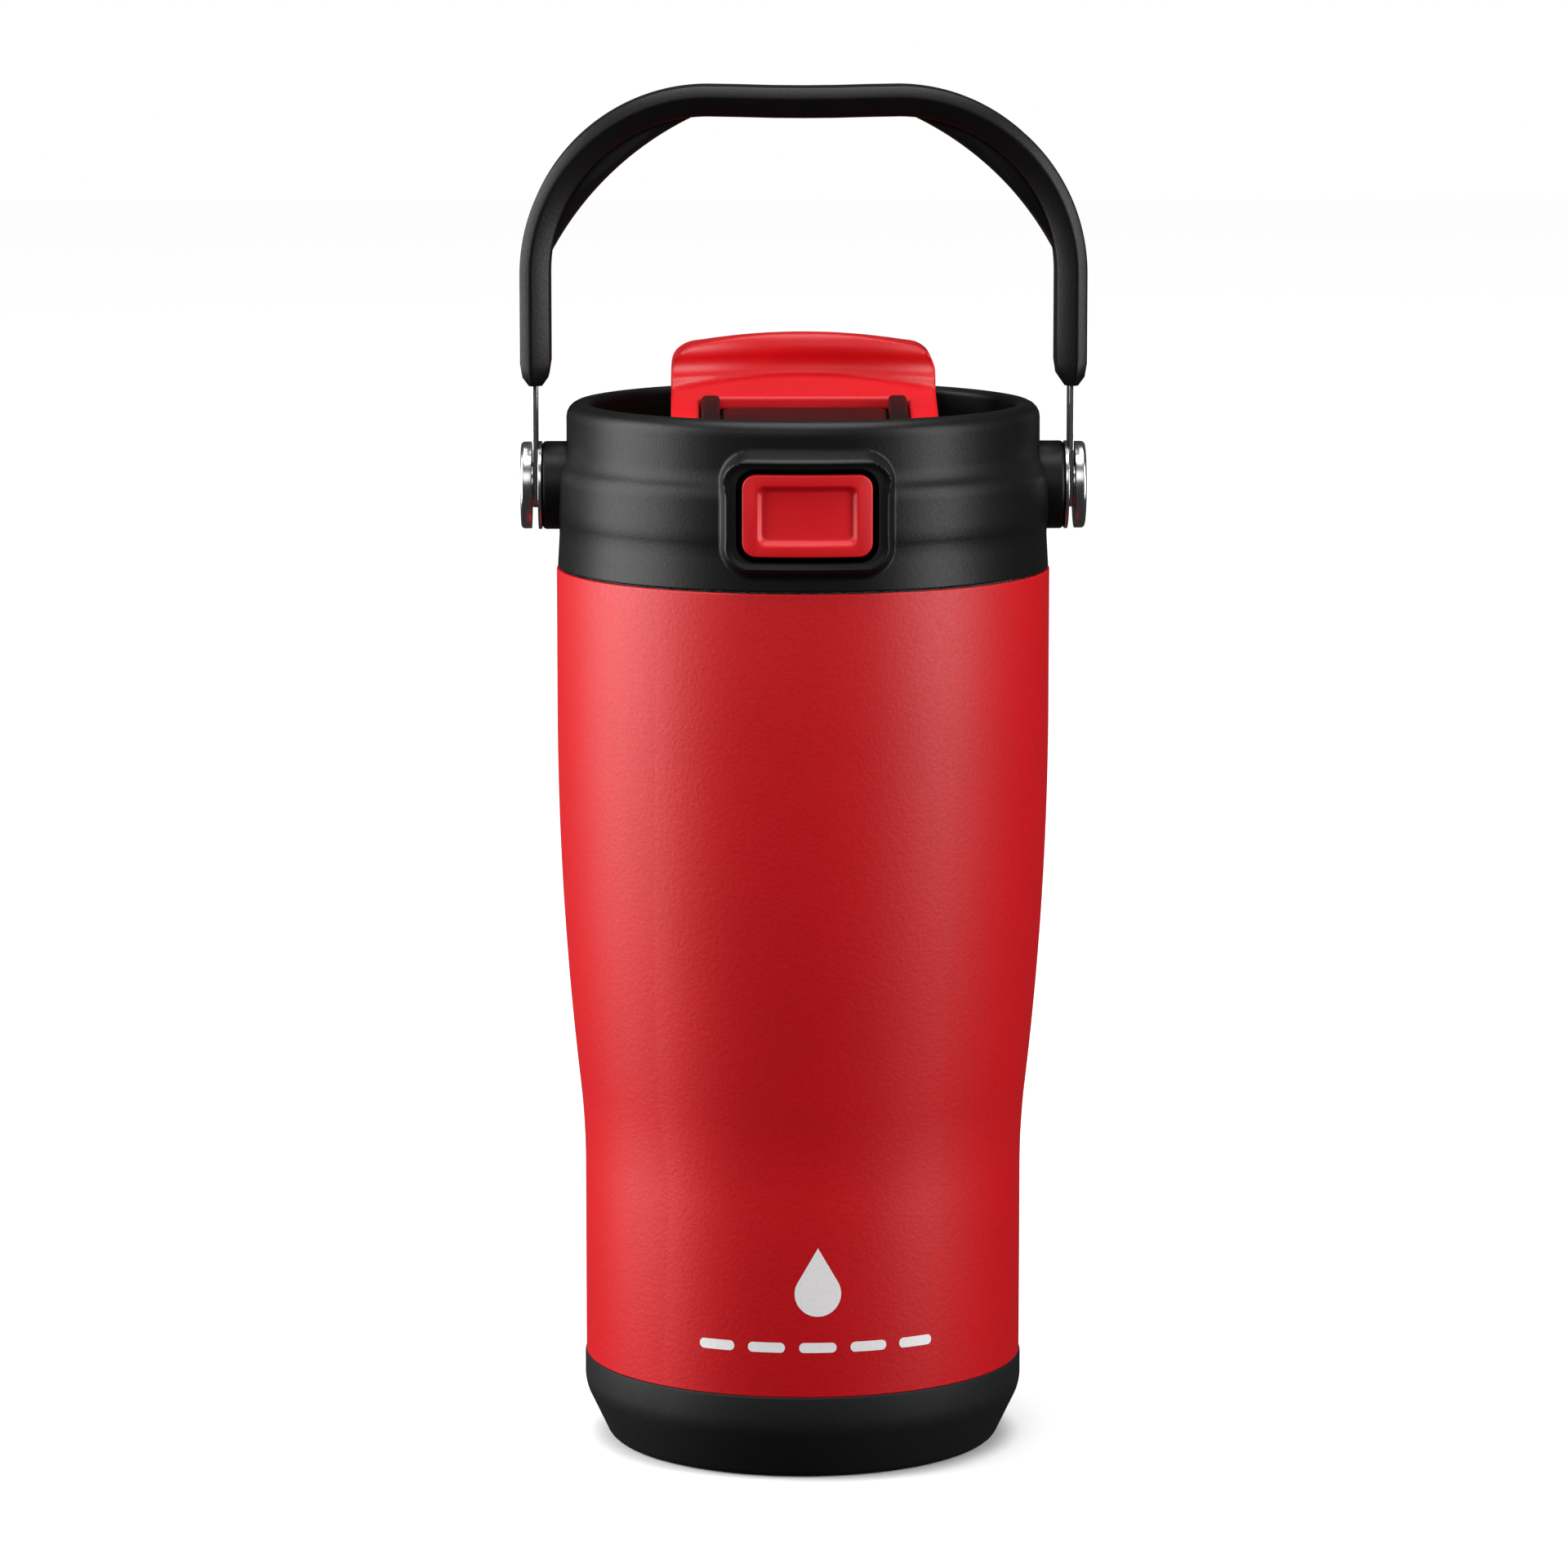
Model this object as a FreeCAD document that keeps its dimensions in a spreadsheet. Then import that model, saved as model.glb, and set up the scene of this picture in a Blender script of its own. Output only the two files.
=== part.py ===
"""Insulated travel mug with a screw lid, a push-button flap and a swing handle.

Millimetres, +Z up, the drinking side and the button face -Y. The origin is the
centre of the flat base. Every piece is an object of its own in the document and
its sizes are bound to the sheet "D", so a changed cell moves all that fits it.
"""

import FreeCAD, Part
import os
import Sketcher

doc = FreeCAD.newDocument("TravelMug")
sheet = doc.addObject("Spreadsheet::Sheet", "D")

DIMENSIONS = [
    # vacuum flask
    ("body_r", 44.0, "outer radius at the mouth"),
    ("draw_in", 4.7, "how much the lower body is drawn in from the mouth"),
    ("body_top", 158.4, "height of the mouth lip"),
    ("flank_down", 25.4, "length of the straight body below the lip"),
    ("upper_arc", 600.0, "radius of the convex upper flank"),
    ("lower_arc", 135.0, "radius of the concave lower flank"),
    ("shell_wall", 0.6, "steel of the outer shell"),
    ("vacuum_gap", 2.4, "space between the two walls"),
    ("liner_wall", 0.5, "steel of the inner liner"),
    ("liner_floor", 12.0, "height of the liner's underside"),
    ("liner_corner", 6.0, "outer corner radius of the liner's floor"),
    ("cap_floor", 5.0, "height of the base cap's underside"),
    ("seal_hole_r", 1.0, "evacuation hole in the base cap"),
    ("bead_r", 3.0, "radius of the seal bead"),
    ("bead_drop", 1.2, "how far the bead stands below the cap"),
    ("getter_r", 7.0, "radius of the getter pellet"),
    ("getter_thick", 2.0, "thickness of the getter pellet"),
    ("getter_x", 18.0, "where the getter sits"),
    # rubber boot
    ("boot_top", 15.6, "height of the boot"),
    ("boot_break", 9.8, "height where the boot's cone starts"),
    ("boot_proud", 0.2, "how far the boot stands proud of the body"),
    ("boot_cone", 4.7, "how much the boot's cone draws in at the table"),
    ("boot_wall", 1.5, "wall of the boot"),
    ("boot_floor", 2.0, "floor of the boot"),
    ("boot_round", 1.0, "rounding of the boot's foot"),
    ("groove_in_r", 24.0, "inner radius of the grip groove in the base"),
    ("groove_out_r", 28.0, "outer radius of the grip groove in the base"),
    ("groove_deep", 0.8, "depth of the grip groove"),
    # screw thread
    ("pitch", 4.0, "rise of the lid for one turn"),
    ("thread_turns", 1.1, "turns of each thread"),
    ("thread_high", 1.1, "height of each thread ridge"),
    ("thread_root", 0.9, "half width of a ridge at its root"),
    ("thread_crest", 0.45, "half width of a ridge at its crest"),
    ("thread_play", 0.5, "radial play between a crest and the other wall"),
    ("thread_down", 7.5, "first turn of the liner's ridge below the lip"),
    ("thread_seat", 1.6, "how far the lid's ridge sits below the liner's"),
    # lid gasket and plug
    ("lid_gap", 0.3, "gap between the lid's skirt and the body"),
    ("gasket_play", 0.05, "clearance above and below the gasket"),
    ("gasket_thick", 1.7, "thickness of the lid gasket"),
    ("gasket_rib", 0.3, "depth of the groove between the gasket's ribs"),
    ("flange_thick", 2.0, "thickness of the plug's flange"),
    ("plug_wall", 2.0, "wall of the threaded plug"),
    ("plug_floor", 1.6, "floor of the threaded plug"),
    ("plug_deep", 14.4, "how far the plug reaches below the lip"),
    ("slip", 0.1, "clearance of parts that are pushed together"),
    # lid shell, heights from the skirt's lower edge
    ("lid_high", 29.3, "height of the lid"),
    ("skirt_in", 0.2, "skirt's lower edge inside the body radius"),
    ("waist_in", 0.6, "waist inside the body radius"),
    ("waist_up", 7.0, "height of the waist"),
    ("band_up", 9.7, "height where the band starts"),
    ("band_end", 16.8, "height where the band ends"),
    ("shoulder_up", 19.5, "height where the upper ring starts"),
    ("ring_in", 1.85, "upper ring inside the body radius"),
    ("ring_wall", 4.25, "thickness of the rim"),
    ("rim_out", 2.6, "outer rounding of the rim"),
    ("rim_in", 1.4, "inner rounding of the rim"),
    ("recess_draft", 0.4, "draft of the recess wall"),
    ("deck_up", 12.8, "height of the deck"),
    ("deck_thick", 2.0, "thickness of the deck"),
    ("skirt_wall", 1.6, "wall of the skirt"),
    ("inner_wall", 2.0, "wall between the recess and the skirt"),
    ("channel_up", 17.3, "height of the hollow behind the skirt"),
    ("weld_up", 9.5, "height where the plug's wall is welded"),
    ("spigot_up", 5.3, "height of the spigot's lower edge"),
    ("spigot_wall", 1.9, "wall of the spigot inside the plug"),
    # ears and pivots
    ("pivot_up", 14.3, "height of the handle's pivot"),
    ("ear_r", 7.85, "radius of an ear boss"),
    ("ear_out", 2.5, "ear's face outside the body radius"),
    ("insert_r", 3.0, "radius of a threaded insert"),
    ("insert_long", 6.0, "length of a threaded insert"),
    ("shank_r", 1.5, "radius of the screw's shank"),
    ("shank_long", 5.5, "length of the screw's shank"),
    ("shoulder_r", 2.5, "radius of the screw's shoulder"),
    ("washer_thick", 0.65, "thickness of the friction washer"),
    ("disc_r", 4.0, "radius of the small spacer washer"),
    ("disc_thick", 0.25, "thickness of the small spacer washer"),
    ("side_play", 0.05, "play on each side of the handle's link"),
    ("head_r", 7.75, "radius of the screw's head"),
    ("head_thick", 1.9, "thickness of the screw's head"),
    ("head_round", 0.7, "rounding of the screw's head"),
    ("socket_r", 1.6, "radius of the screw's drive socket"),
    ("socket_deep", 1.0, "depth of the screw's drive socket"),
    # handle
    ("link_thick", 0.85, "thickness of a steel link"),
    ("link_half", 4.0, "half width of a steel link"),
    ("link_in", 22.0, "length of a link inside the grip"),
    ("link_notch", 1.2, "depth of the notch that keys the link"),
    ("run_play", 0.05, "radial play of running fits"),
    ("leg_gap", 0.8, "gap between the body radius and the grip's leg"),
    ("leg_thick", 5.4, "thickness of the grip"),
    ("grip_flat", 6.2, "half width of the grip's outer face"),
    ("grip_ridge", 7.5, "half width of the grip at its ridge"),
    ("grip_inner", 5.6, "half width of the grip's inner face"),
    ("ridge_at", 0.8, "ridge outside the middle of the grip"),
    ("grip_end", 18.1, "end of the grip above the pivot"),
    ("grip_taper", 4.0, "length of the grip's tapered end"),
    ("tip_half", 1.2, "half thickness of the grip's tip"),
    ("tip_slot", 2.5, "depth of the slot in the grip's tip"),
    ("tip_slot_half", 0.8, "half width of the slot in the grip's tip"),
    ("bend_up", 37.75, "start of the grip's bend above the pivot"),
    ("bend_r", 33.25, "outer radius of the grip's bend"),
    ("web_leg", 3.5, "where the corner web meets the leg, above the bend"),
    ("web_top", 2.4, "where the corner web meets the top, past the bend"),
    ("web_arc", 55.6, "radius of the corner web's edge"),
    ("web_half", 4.0, "half thickness of the corner web"),
    # button and its frame
    ("button_up", 13.3, "height of the button's middle"),
    ("button_wide", 22.5, "width of the button"),
    ("button_tall", 14.2, "height of the button"),
    ("button_corner", 2.4, "corner radius of the button"),
    ("button_thick", 2.1, "thickness of the button's front"),
    ("button_out", 1.2, "button's face outside the body radius"),
    ("dish_edge", 2.6, "border round the button's dished panel"),
    ("dish_deep", 0.9, "depth of the dished panel"),
    ("dish_slope", 0.7, "width of the dish's sloping sides"),
    ("button_gap", 1.05, "gap round the button"),
    ("frame_edge", 2.25, "width of the frame round the button"),
    ("frame_corner", 4.8, "corner radius of the frame"),
    ("frame_out", 1.7, "frame's face outside the body radius"),
    # latch
    ("stem_half", 5.5, "half width of the button's stem"),
    ("stem_low", 1.4, "stem's underside above the deck"),
    ("stem_tall", 5.0, "height of the stem"),
    ("stem_end", 1.3, "stem's end inside the recess radius"),
    ("gap_side", 0.4, "clearance beside sliding parts"),
    ("slide_half", 9.0, "half width of the latch slide"),
    ("slide_low", 1.3, "latch slide's underside above the deck"),
    ("slide_thick", 1.6, "thickness of the latch slide"),
    ("runner_half", 1.2, "half width of a runner"),
    ("runner_play", 0.2, "play under the runners"),
    ("block_long", 2.7, "length of the slide's front block"),
    ("block_tall", 4.9, "height of the slide's front block"),
    ("hook_long", 2.5, "length of the slide's hook bar"),
    ("window_long", 5.5, "length of the slide's window"),
    ("window_half", 5.2, "half width of the slide's window"),
    ("catch_half", 4.4, "half width of the flap's catch"),
    ("catch_thick", 1.2, "thickness of the flap's catch"),
    ("catch_lip", 1.7, "length of the catch's lip"),
    ("catch_low", 0.4, "catch's lower end above the deck"),
    ("catch_lip_tall", 0.8, "thickness of the catch's lip"),
    ("latch_play", 0.1, "gap left between lip and hook"),
    ("spring_r", 1.65, "coil radius of the button spring"),
    ("spring_wire", 0.25, "wire radius of the button spring"),
    ("spring_up", 5.2, "middle of the button spring above the deck"),
    ("spring_turns", 8.0, "turns of the button spring"),
    # latch housing
    ("house_half", 18.2, "half width of the latch housing"),
    ("house_wall", 3.4, "wall of the latch housing"),
    ("house_rear", 12.5, "rear wall of the housing, before the axis"),
    ("house_rear_thick", 1.6, "thickness of the housing's rear wall"),
    ("rail_rear", 9.0, "rear end of the housing's rails"),
    ("seat_front", 22.0, "front of the spring seat"),
    ("seat_thick", 1.4, "thickness of the spring seat"),
    ("slope", 0.2309, "rise of the sloping tops for each millimetre back"),
    ("slope_y", 15.0, "reference point of the slope, before the axis"),
    ("slope_up", 29.0, "height of the slope there, above the skirt"),
    ("rail_up", 0.9, "rails above the cover"),
    ("cover_thick", 1.6, "thickness of the latch cover"),
    ("cover_rear", 13.2, "rear edge of the latch cover"),
    ("cover_gap", 0.3, "gap beside the latch cover"),
    ("cover_chamfer", 1.6, "corner chamfers of the latch cover"),
    # spout
    ("spout_y", 14.9, "middle of the spout behind the axis"),
    ("spout_r", 6.8, "outer radius of the spout"),
    ("spout_bore", 5.0, "radius of the spout's bore"),
    ("spout_up", 20.0, "spout above the deck"),
    ("spout_flange", 1.3, "width of the spout's flange"),
    ("spout_flange_thick", 1.2, "thickness of the spout's flange"),
    ("tail_r", 6.2, "outer radius of the spout's tail"),
    ("seal_thick", 1.3, "radial thickness of the spout's seal"),
    ("seal_tall", 2.4, "height of the spout's seal"),
    ("collar_wall", 1.4, "wall of the collar round the seal"),
    # flap hinge
    ("hinge_in", 9.2, "hinge axis inside the recess radius"),
    ("hinge_up", 29.8, "height of the hinge axis"),
    ("pin_r", 1.2, "radius of the hinge pin"),
    ("pin_half", 18.0, "half length of the hinge pin"),
    ("lug_in", 14.3, "inner face of a hinge lug"),
    ("lug_thick", 4.0, "thickness of a hinge lug"),
    ("lug_r", 3.2, "rounding of a hinge lug"),
    ("knuckle_r", 2.8, "radius of the flap's knuckle"),
    ("knuckle_gap", 0.4, "gap between knuckle and lug"),
    ("coil_half", 4.8, "half width of the gap for the torsion spring"),
    ("coil_r", 2.0, "coil radius of the torsion spring"),
    ("coil_wire", 0.3, "wire radius of the torsion spring"),
    ("coil_turns", 5.75, "turns of the torsion spring"),
    ("coil_pitch", 1.0, "pitch of the torsion spring"),
    # flap
    ("flap_half", 23.5, "half width of the flap"),
    ("flap_front", 25.2, "front of the flap's legs, before the axis"),
    ("flap_rear", 24.3, "rear wall of the flap, behind the axis"),
    ("flap_wall", 2.0, "wall of the flap"),
    ("flap_corner", 6.0, "corner radius of the flap's rear"),
    ("leg_corner", 4.0, "corner radius of the flap's legs"),
    ("apron_thick", 2.4, "thickness of the flap's apron"),
    ("bridge_y", 8.0, "front of the flap's bridge, before the axis"),
    ("opening_gap", 0.3, "gap between the flap and the housing"),
    ("opening_corner", 2.0, "corner radius of the flap's opening"),
    ("crease_y", 5.0, "crease of the scoop behind the axis"),
    ("crease_arc", 37.3, "radius of the crease seen from above"),
    ("hump_up", 40.9, "top of the hump above the skirt"),
    ("hump_low", 28.6, "bottom of the hump above the skirt"),
    ("lip_in", 0.3, "lip's lower edge behind the crease"),
    ("lip_back", 2.2, "lip's upper edge behind its lower edge"),
    ("lip_tall", 3.7, "height of the lip's rounded front"),
    ("lip_r", 2.6, "rounding of the lip"),
    ("hump_flat", 3.0, "level top of the hump behind the lip"),
    ("scoop_r", 2.4, "radius of the scoop"),
    ("hump_rear_up", 36.5, "rear edge of the hump above the skirt"),
    ("crown_r", 111.0, "radius of the hump's crown across the flap"),
    ("crown_corner", 5.0, "rounding of the hump's upper corners"),
    ("stopper_r", 4.8, "stopper radius at the spout's rim"),
    ("stopper_tip", 3.6, "stopper radius at its tip"),
    ("stopper_deep", 2.5, "stopper below the spout's rim"),
    ("stopper_head", 6.6, "radius of the stopper's head"),
    ("stopper_head_thick", 1.5, "thickness of the stopper's head"),
    ("stopper_gap", 0.3, "gap above the spout's rim"),
    ("boss_r", 4.0, "radius of the flap's boss for the stopper"),
    ("barb_r", 2.0, "radius of the boss's stud inside the stopper"),
    ("barb_long", 2.0, "length of that stud"),
]

for row, (alias, number, meaning) in enumerate(DIMENSIONS, start=1):
    sheet.set(f"A{row}", meaning)
    sheet.set(f"B{row}", str(number))
    sheet.setAlias(f"B{row}", alias)
doc.recompute()


def size(expression):
    """The number that an expression on the sheet gives."""
    answer = sheet.evalExpression(expression)
    return float(getattr(answer, "Value", answer))


# ---------------------------------------------------------------- helpers


def bind(thing, **bindings):
    """Binds properties to expressions; a double underscore stands for a dot."""
    for name, expression in bindings.items():
        thing.setExpression(name.replace("__", "."), expression)
    return thing


def turn(thing, axis, angle):
    """Turns an object's placement about a direction."""
    thing.Placement = FreeCAD.Placement(thing.Placement.Base, FreeCAD.Rotation(axis, angle))
    return thing


ALONG_X = (FreeCAD.Vector(0, 1, 0), 90)
ALONG_Y = (FreeCAD.Vector(1, 0, 0), -90)


def sketch_on(body, role, name, offset="0", up="0"):
    """A sketch on one of the body's own origin planes, moved along its normal."""
    sketch = body.newObject("Sketcher::SketchObject", name)
    plane = [f for f in body.Origin.OriginFeatures if f.Role == role][0]
    sketch.AttachmentSupport = (plane, [""])
    sketch.MapMode = "FlatFace"
    bind(sketch, AttachmentOffset__Base__z=offset, AttachmentOffset__Base__y=up)
    return sketch


def hold(sketch, edge, end, corner, tag):
    """Dimensions one end of an edge from the sketch's origin, bound to the sheet."""
    for kind, expression, axis in (("DistanceX", corner[0], -2), ("DistanceY", corner[1], -1)):
        if expression == "0":
            sketch.addConstraint(Sketcher.Constraint("PointOnObject", edge, end, axis))
            continue
        rule = Sketcher.Constraint(kind, -1, 1, edge, end, size(expression))
        number = sketch.addConstraint(rule)
        name = f"{kind}{tag}"
        sketch.renameConstraint(number, name)
        sketch.setExpression(f"Constraints.{name}", expression)


def draw(sketch, corners, closed=True):
    """Draws edges through corners (across, up[, radius]).

    A radius turns the edge that leaves the corner into an arc. Seen along the edge
    it bulges to the right when the radius is positive and to the left when it is
    written with a leading minus.
    """
    first = sketch.GeometryCount
    places = [FreeCAD.Vector(size(c[0]), size(c[1]), 0) for c in corners]
    count = len(corners) if closed else len(corners) - 1
    ends = []
    for i in range(count):
        start = places[i]
        stop = places[(i + 1) % len(corners)]
        edge = first + i
        if len(corners[i]) == 2:
            sketch.addGeometry(Part.LineSegment(start, stop), False)
            ends.append((1, 2))
            continue
        rule = corners[i][2]
        left = rule.startswith("-")
        radius = abs(size(rule))
        chord = stop - start
        half = chord.Length / 2
        side = FreeCAD.Vector(chord.y, -chord.x, 0).normalize()
        if left:
            side = side * -1
        reach = max(radius * radius - half * half, 0.0) ** 0.5
        centre = (start + stop) * 0.5 - side * reach
        middle = centre + side * radius
        arc = Part.Arc(start, middle, stop)
        sketch.addGeometry(arc, False)
        ends.append((1, 2) if not left else (2, 1))
        number = sketch.addConstraint(Sketcher.Constraint("Radius", edge, radius))
        sketch.renameConstraint(number, f"Radius{edge}")
        bare = rule[1:] if left else rule
        sketch.setExpression(f"Constraints.Radius{edge}", bare)
    for i in range(count):
        if not closed and i == count - 1:
            break
        after = (i + 1) % count
        rule = Sketcher.Constraint("Coincident", first + i, ends[i][1], first + after, ends[after][0])
        sketch.addConstraint(rule)
    for i in range(count):
        hold(sketch, first + i, ends[i][0], corners[i], first + i)
    if not closed:
        hold(sketch, first + count - 1, ends[-1][1], corners[-1], first + count)


def circle(sketch, across, up, radius):
    """Draws a circle whose centre and radius are bound to the sheet."""
    edge = sketch.GeometryCount
    centre = FreeCAD.Vector(size(across), size(up), 0)
    sketch.addGeometry(Part.Circle(centre, FreeCAD.Vector(0, 0, 1), size(radius)), False)
    number = sketch.addConstraint(Sketcher.Constraint("Radius", edge, size(radius)))
    sketch.renameConstraint(number, f"Radius{edge}")
    sketch.setExpression(f"Constraints.Radius{edge}", radius)
    hold(sketch, edge, 3, (across, up), edge)


def turned(name, corners, about="V_Axis", up="0"):
    """A body turned from an outline on the XZ plane, about Z, or about X for H_Axis."""
    body = doc.addObject("PartDesign::Body", name)
    sketch = sketch_on(body, "XZ_Plane", name + "_outline", up=up)
    draw(sketch, corners)
    feature = body.newObject("PartDesign::Revolution", name + "_turned")
    feature.Profile = sketch
    feature.ReferenceAxis = (sketch, [about])
    feature.Angle = 360
    return body


def prism(name, role, corners, start, length, holes=()):
    """A body padded along a plane's normal from an outline. Holes are (across, up, radius)."""
    body = doc.addObject("PartDesign::Body", name)
    sketch = sketch_on(body, role, name + "_outline", offset=start)
    draw(sketch, corners)
    for hole in holes:
        circle(sketch, *hole)
    feature = body.newObject("PartDesign::Pad", name + "_pad")
    feature.Profile = sketch
    bind(feature, Length=length)
    return body


def rounded(left, low, right, high, radius):
    """Corners of an upright rectangle with round corners, anticlockwise."""
    r = radius
    return [
        (f"{left} + {r}", low),
        (f"{right} - {r}", low, r),
        (right, f"{low} + {r}"),
        (right, f"{high} - {r}", r),
        (f"{right} - {r}", high),
        (f"{left} + {r}", high, r),
        (left, f"{high} - {r}"),
        (left, f"{low} + {r}", r),
    ]


def rectangle(left, low, right, high):
    return [(left, low), (right, low), (right, high), (left, high)]


def box(name, x, y, z):
    """A block given by its (low, high) expressions on each axis."""
    block = doc.addObject("Part::Box", name)
    bind(block, Length=f"({x[1]}) - ({x[0]})", Width=f"({y[1]}) - ({y[0]})")
    bind(block, Height=f"({z[1]}) - ({z[0]})", Placement__Base__x=x[0])
    return bind(block, Placement__Base__y=y[0], Placement__Base__z=z[0])


def wide_box(name, half, y, z):
    """A block that is as wide to the left as to the right."""
    return box(name, (f"-({half})", half), y, z)


def cylinder(name, radius, height, x="0", y="0", z="0", along=None):
    rod = doc.addObject("Part::Cylinder", name)
    if along:
        turn(rod, *along)
    bind(rod, Radius=radius, Height=height)
    return bind(rod, Placement__Base__x=x, Placement__Base__y=y, Placement__Base__z=z)


def cut(name, base, *tools):
    tool = tools[0] if len(tools) == 1 else fuse(name + "_tools", *tools)
    result = doc.addObject("Part::Cut", name)
    result.Base = base
    result.Tool = tool
    return result


def fuse(name, *shapes):
    result = doc.addObject("Part::MultiFuse", name)
    result.Shapes = list(shapes)
    return result


def common(name, base, tool):
    result = doc.addObject("Part::Common", name)
    result.Base = base
    result.Tool = tool
    return result


def mirrored(name, source):
    """The piece's mirror image on the other side of the YZ plane."""
    result = doc.addObject("Part::Mirroring", name)
    result.Source = source
    result.Normal = FreeCAD.Vector(1, 0, 0)
    return result


def pair(name, source):
    """A left and a right copy of one piece, kept as two solids in one node."""
    result = doc.addObject("Part::Compound", name)
    result.Links = [source, mirrored(name + "_left", source)]
    return result


def softened(name, source, radius, wanted):
    """Rounds the edges of a piece whose middle point passes the test."""
    doc.recompute()
    edges = source.Shape.Edges
    picked = [i for i, edge in enumerate(edges, start=1) if wanted(middle_of(edge))]
    result = doc.addObject("Part::Fillet", name)
    result.Base = source
    result.Edges = [(i, size(radius), size(radius)) for i in picked]
    return result


def middle_of(edge):
    return edge.valueAt((edge.FirstParameter + edge.LastParameter) / 2)


def coil(name, radius, pitch, height, wire, section_turn):
    """A round wire wound on a helix about its own Z axis, with its section at the start."""
    helix = bind(doc.addObject("Part::Helix", name + "_line"), Pitch=pitch, Height=height, Radius=radius)
    section = bind(doc.addObject("Part::Circle", name + "_section"), Radius=wire)
    bind(section, Placement__Base__x=radius)
    turn(section, FreeCAD.Vector(1, 0, 0), section_turn)
    result = doc.addObject("Part::Sweep", name)
    result.Sections = [section]
    result.Spine = (helix, ["Edge1"])
    result.Solid = True
    result.Frenet = True
    return result


def thread(name, root, crest, start):
    """A right-handed ridge on a helix. Root and crest are radii, start is its first height."""
    helix = doc.addObject("Part::Helix", name + "_line")
    bind(helix, Pitch="D.pitch", Height="D.pitch * D.thread_turns", Radius=root)
    bind(helix, Placement__Base__z=start)
    body = doc.addObject("PartDesign::Body", name + "_form")
    section = sketch_on(body, "XZ_Plane", name + "_section")
    draw(
        section,
        [
            (root, f"{start} - D.thread_root"),
            (crest, f"{start} - D.thread_crest"),
            (crest, f"{start} + D.thread_crest"),
            (root, f"{start} + D.thread_root"),
        ],
    )
    result = doc.addObject("Part::Sweep", name)
    result.Sections = [section]
    result.Spine = (helix, ["Edge1"])
    result.Solid = True
    result.Frenet = True
    return result


# ---------------------------------------------------------------- shared places

LID = "(D.body_top + D.lid_gap)"
DECK = f"({LID} + D.deck_up)"
PIVOT = f"({LID} + D.pivot_up)"
RECESS = "(D.body_r - D.ring_in - D.ring_wall)"
RECESS_LOW = f"({RECESS} - D.recess_draft)"
LINER = "(D.body_r - D.shell_wall - D.vacuum_gap - D.liner_wall)"
PLUG = f"({LINER} - D.thread_high - D.thread_play)"
SKIRT = "(D.body_r - D.skirt_in - D.skirt_wall)"
EAR = "(D.body_r + D.ear_out)"
FOOT_R = "(D.body_r - D.draw_in)"
FLANK_TOP = "(D.body_top - D.flank_down)"
COSINE = "(1 - D.draw_in / (D.upper_arc + D.lower_arc))"
SINE = f"sqrt(1 - {COSINE} * {COSINE})"
FLANK_LOW = f"({FLANK_TOP} - (D.upper_arc + D.lower_arc) * {SINE})"
BOOT_R = f"({FOOT_R} + D.boot_proud)"
BOOT_FOOT_R = f"({BOOT_R} - D.boot_cone)"
CONE = "(D.boot_cone / D.boot_break)"
CONE_LONG = f"sqrt(1 + {CONE} * {CONE})"


def flank(inset):
    """The curved flank from the top down, a wall's distance inside the outer face."""
    return [
        (f"D.body_r - {inset}", FLANK_TOP, f"-(D.upper_arc - {inset})"),
        (
            f"D.body_r - D.upper_arc * (1 - {COSINE}) - {inset} * {COSINE}",
            f"{FLANK_TOP} - D.upper_arc * {SINE} + {inset} * {SINE}",
            f"D.lower_arc + {inset}",
        ),
        (f"{FOOT_R} - {inset}", FLANK_LOW),
    ]


def reversed_run(corners):
    """The same run of edges, drawn from the other end."""
    back = []
    for i in range(len(corners) - 1, -1, -1):
        spot = corners[i][:2]
        if i > 0 and len(corners[i - 1]) == 3:
            rule = corners[i - 1][2]
            back.append((*spot, rule[1:] if rule.startswith("-") else "-" + f"({rule})"))
        else:
            back.append(spot)
    return back


NODES = {}


def node(name, thing):
    """Registers a finished piece: its label is the node's and the file's name."""
    thing.Label = name
    NODES[name] = thing
    return thing


# ---------------------------------------------------------------- vacuum flask

SHELL_LOW = f"({BOOT_R} - D.boot_wall)"
SHELL_BREAK = f"(D.boot_break + D.boot_wall * ({CONE_LONG} - 1) / {CONE})"
INNER_BREAK = f"(D.boot_break + (D.boot_wall + D.shell_wall) * ({CONE_LONG} - 1) / {CONE})"


def cone_at(height, inset):
    """Radius of the boot's cone at a height, a wall's distance inside it."""
    return f"({BOOT_FOOT_R} + ({height}) * {CONE} - ({inset}) * {CONE_LONG})"


WALLS = "(D.boot_wall + D.shell_wall)"

node("outer_shell", turned("OuterShell", [
    ("D.body_r", "D.body_top"),
    *flank("0"),
    (FOOT_R, "D.boot_top"),
    (SHELL_LOW, "D.boot_top"),
    (SHELL_LOW, SHELL_BREAK),
    (cone_at("D.boot_floor", "D.boot_wall"), "D.boot_floor"),
    (cone_at("D.boot_floor", WALLS), "D.boot_floor"),
    (f"{SHELL_LOW} - D.shell_wall", INNER_BREAK),
    (f"{SHELL_LOW} - D.shell_wall", "D.boot_top + D.shell_wall"),
    (f"{FOOT_R} - D.shell_wall", "D.boot_top + D.shell_wall"),
    *reversed_run(flank("D.shell_wall")),
    ("D.body_r - D.shell_wall", "D.body_top"),
]))

CAP_TOP = "(D.cap_floor + D.shell_wall)"
node("outer_base_cap", turned("OuterBaseCap", [
    ("D.seal_hole_r", "D.cap_floor"),
    (cone_at("D.cap_floor", f"{WALLS} + D.shell_wall"), "D.cap_floor"),
    (cone_at("D.boot_floor", f"{WALLS} + D.shell_wall"), "D.boot_floor"),
    (cone_at("D.boot_floor", WALLS), "D.boot_floor"),
    (cone_at(CAP_TOP, WALLS), CAP_TOP),
    ("D.seal_hole_r", CAP_TOP),
]))

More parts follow.
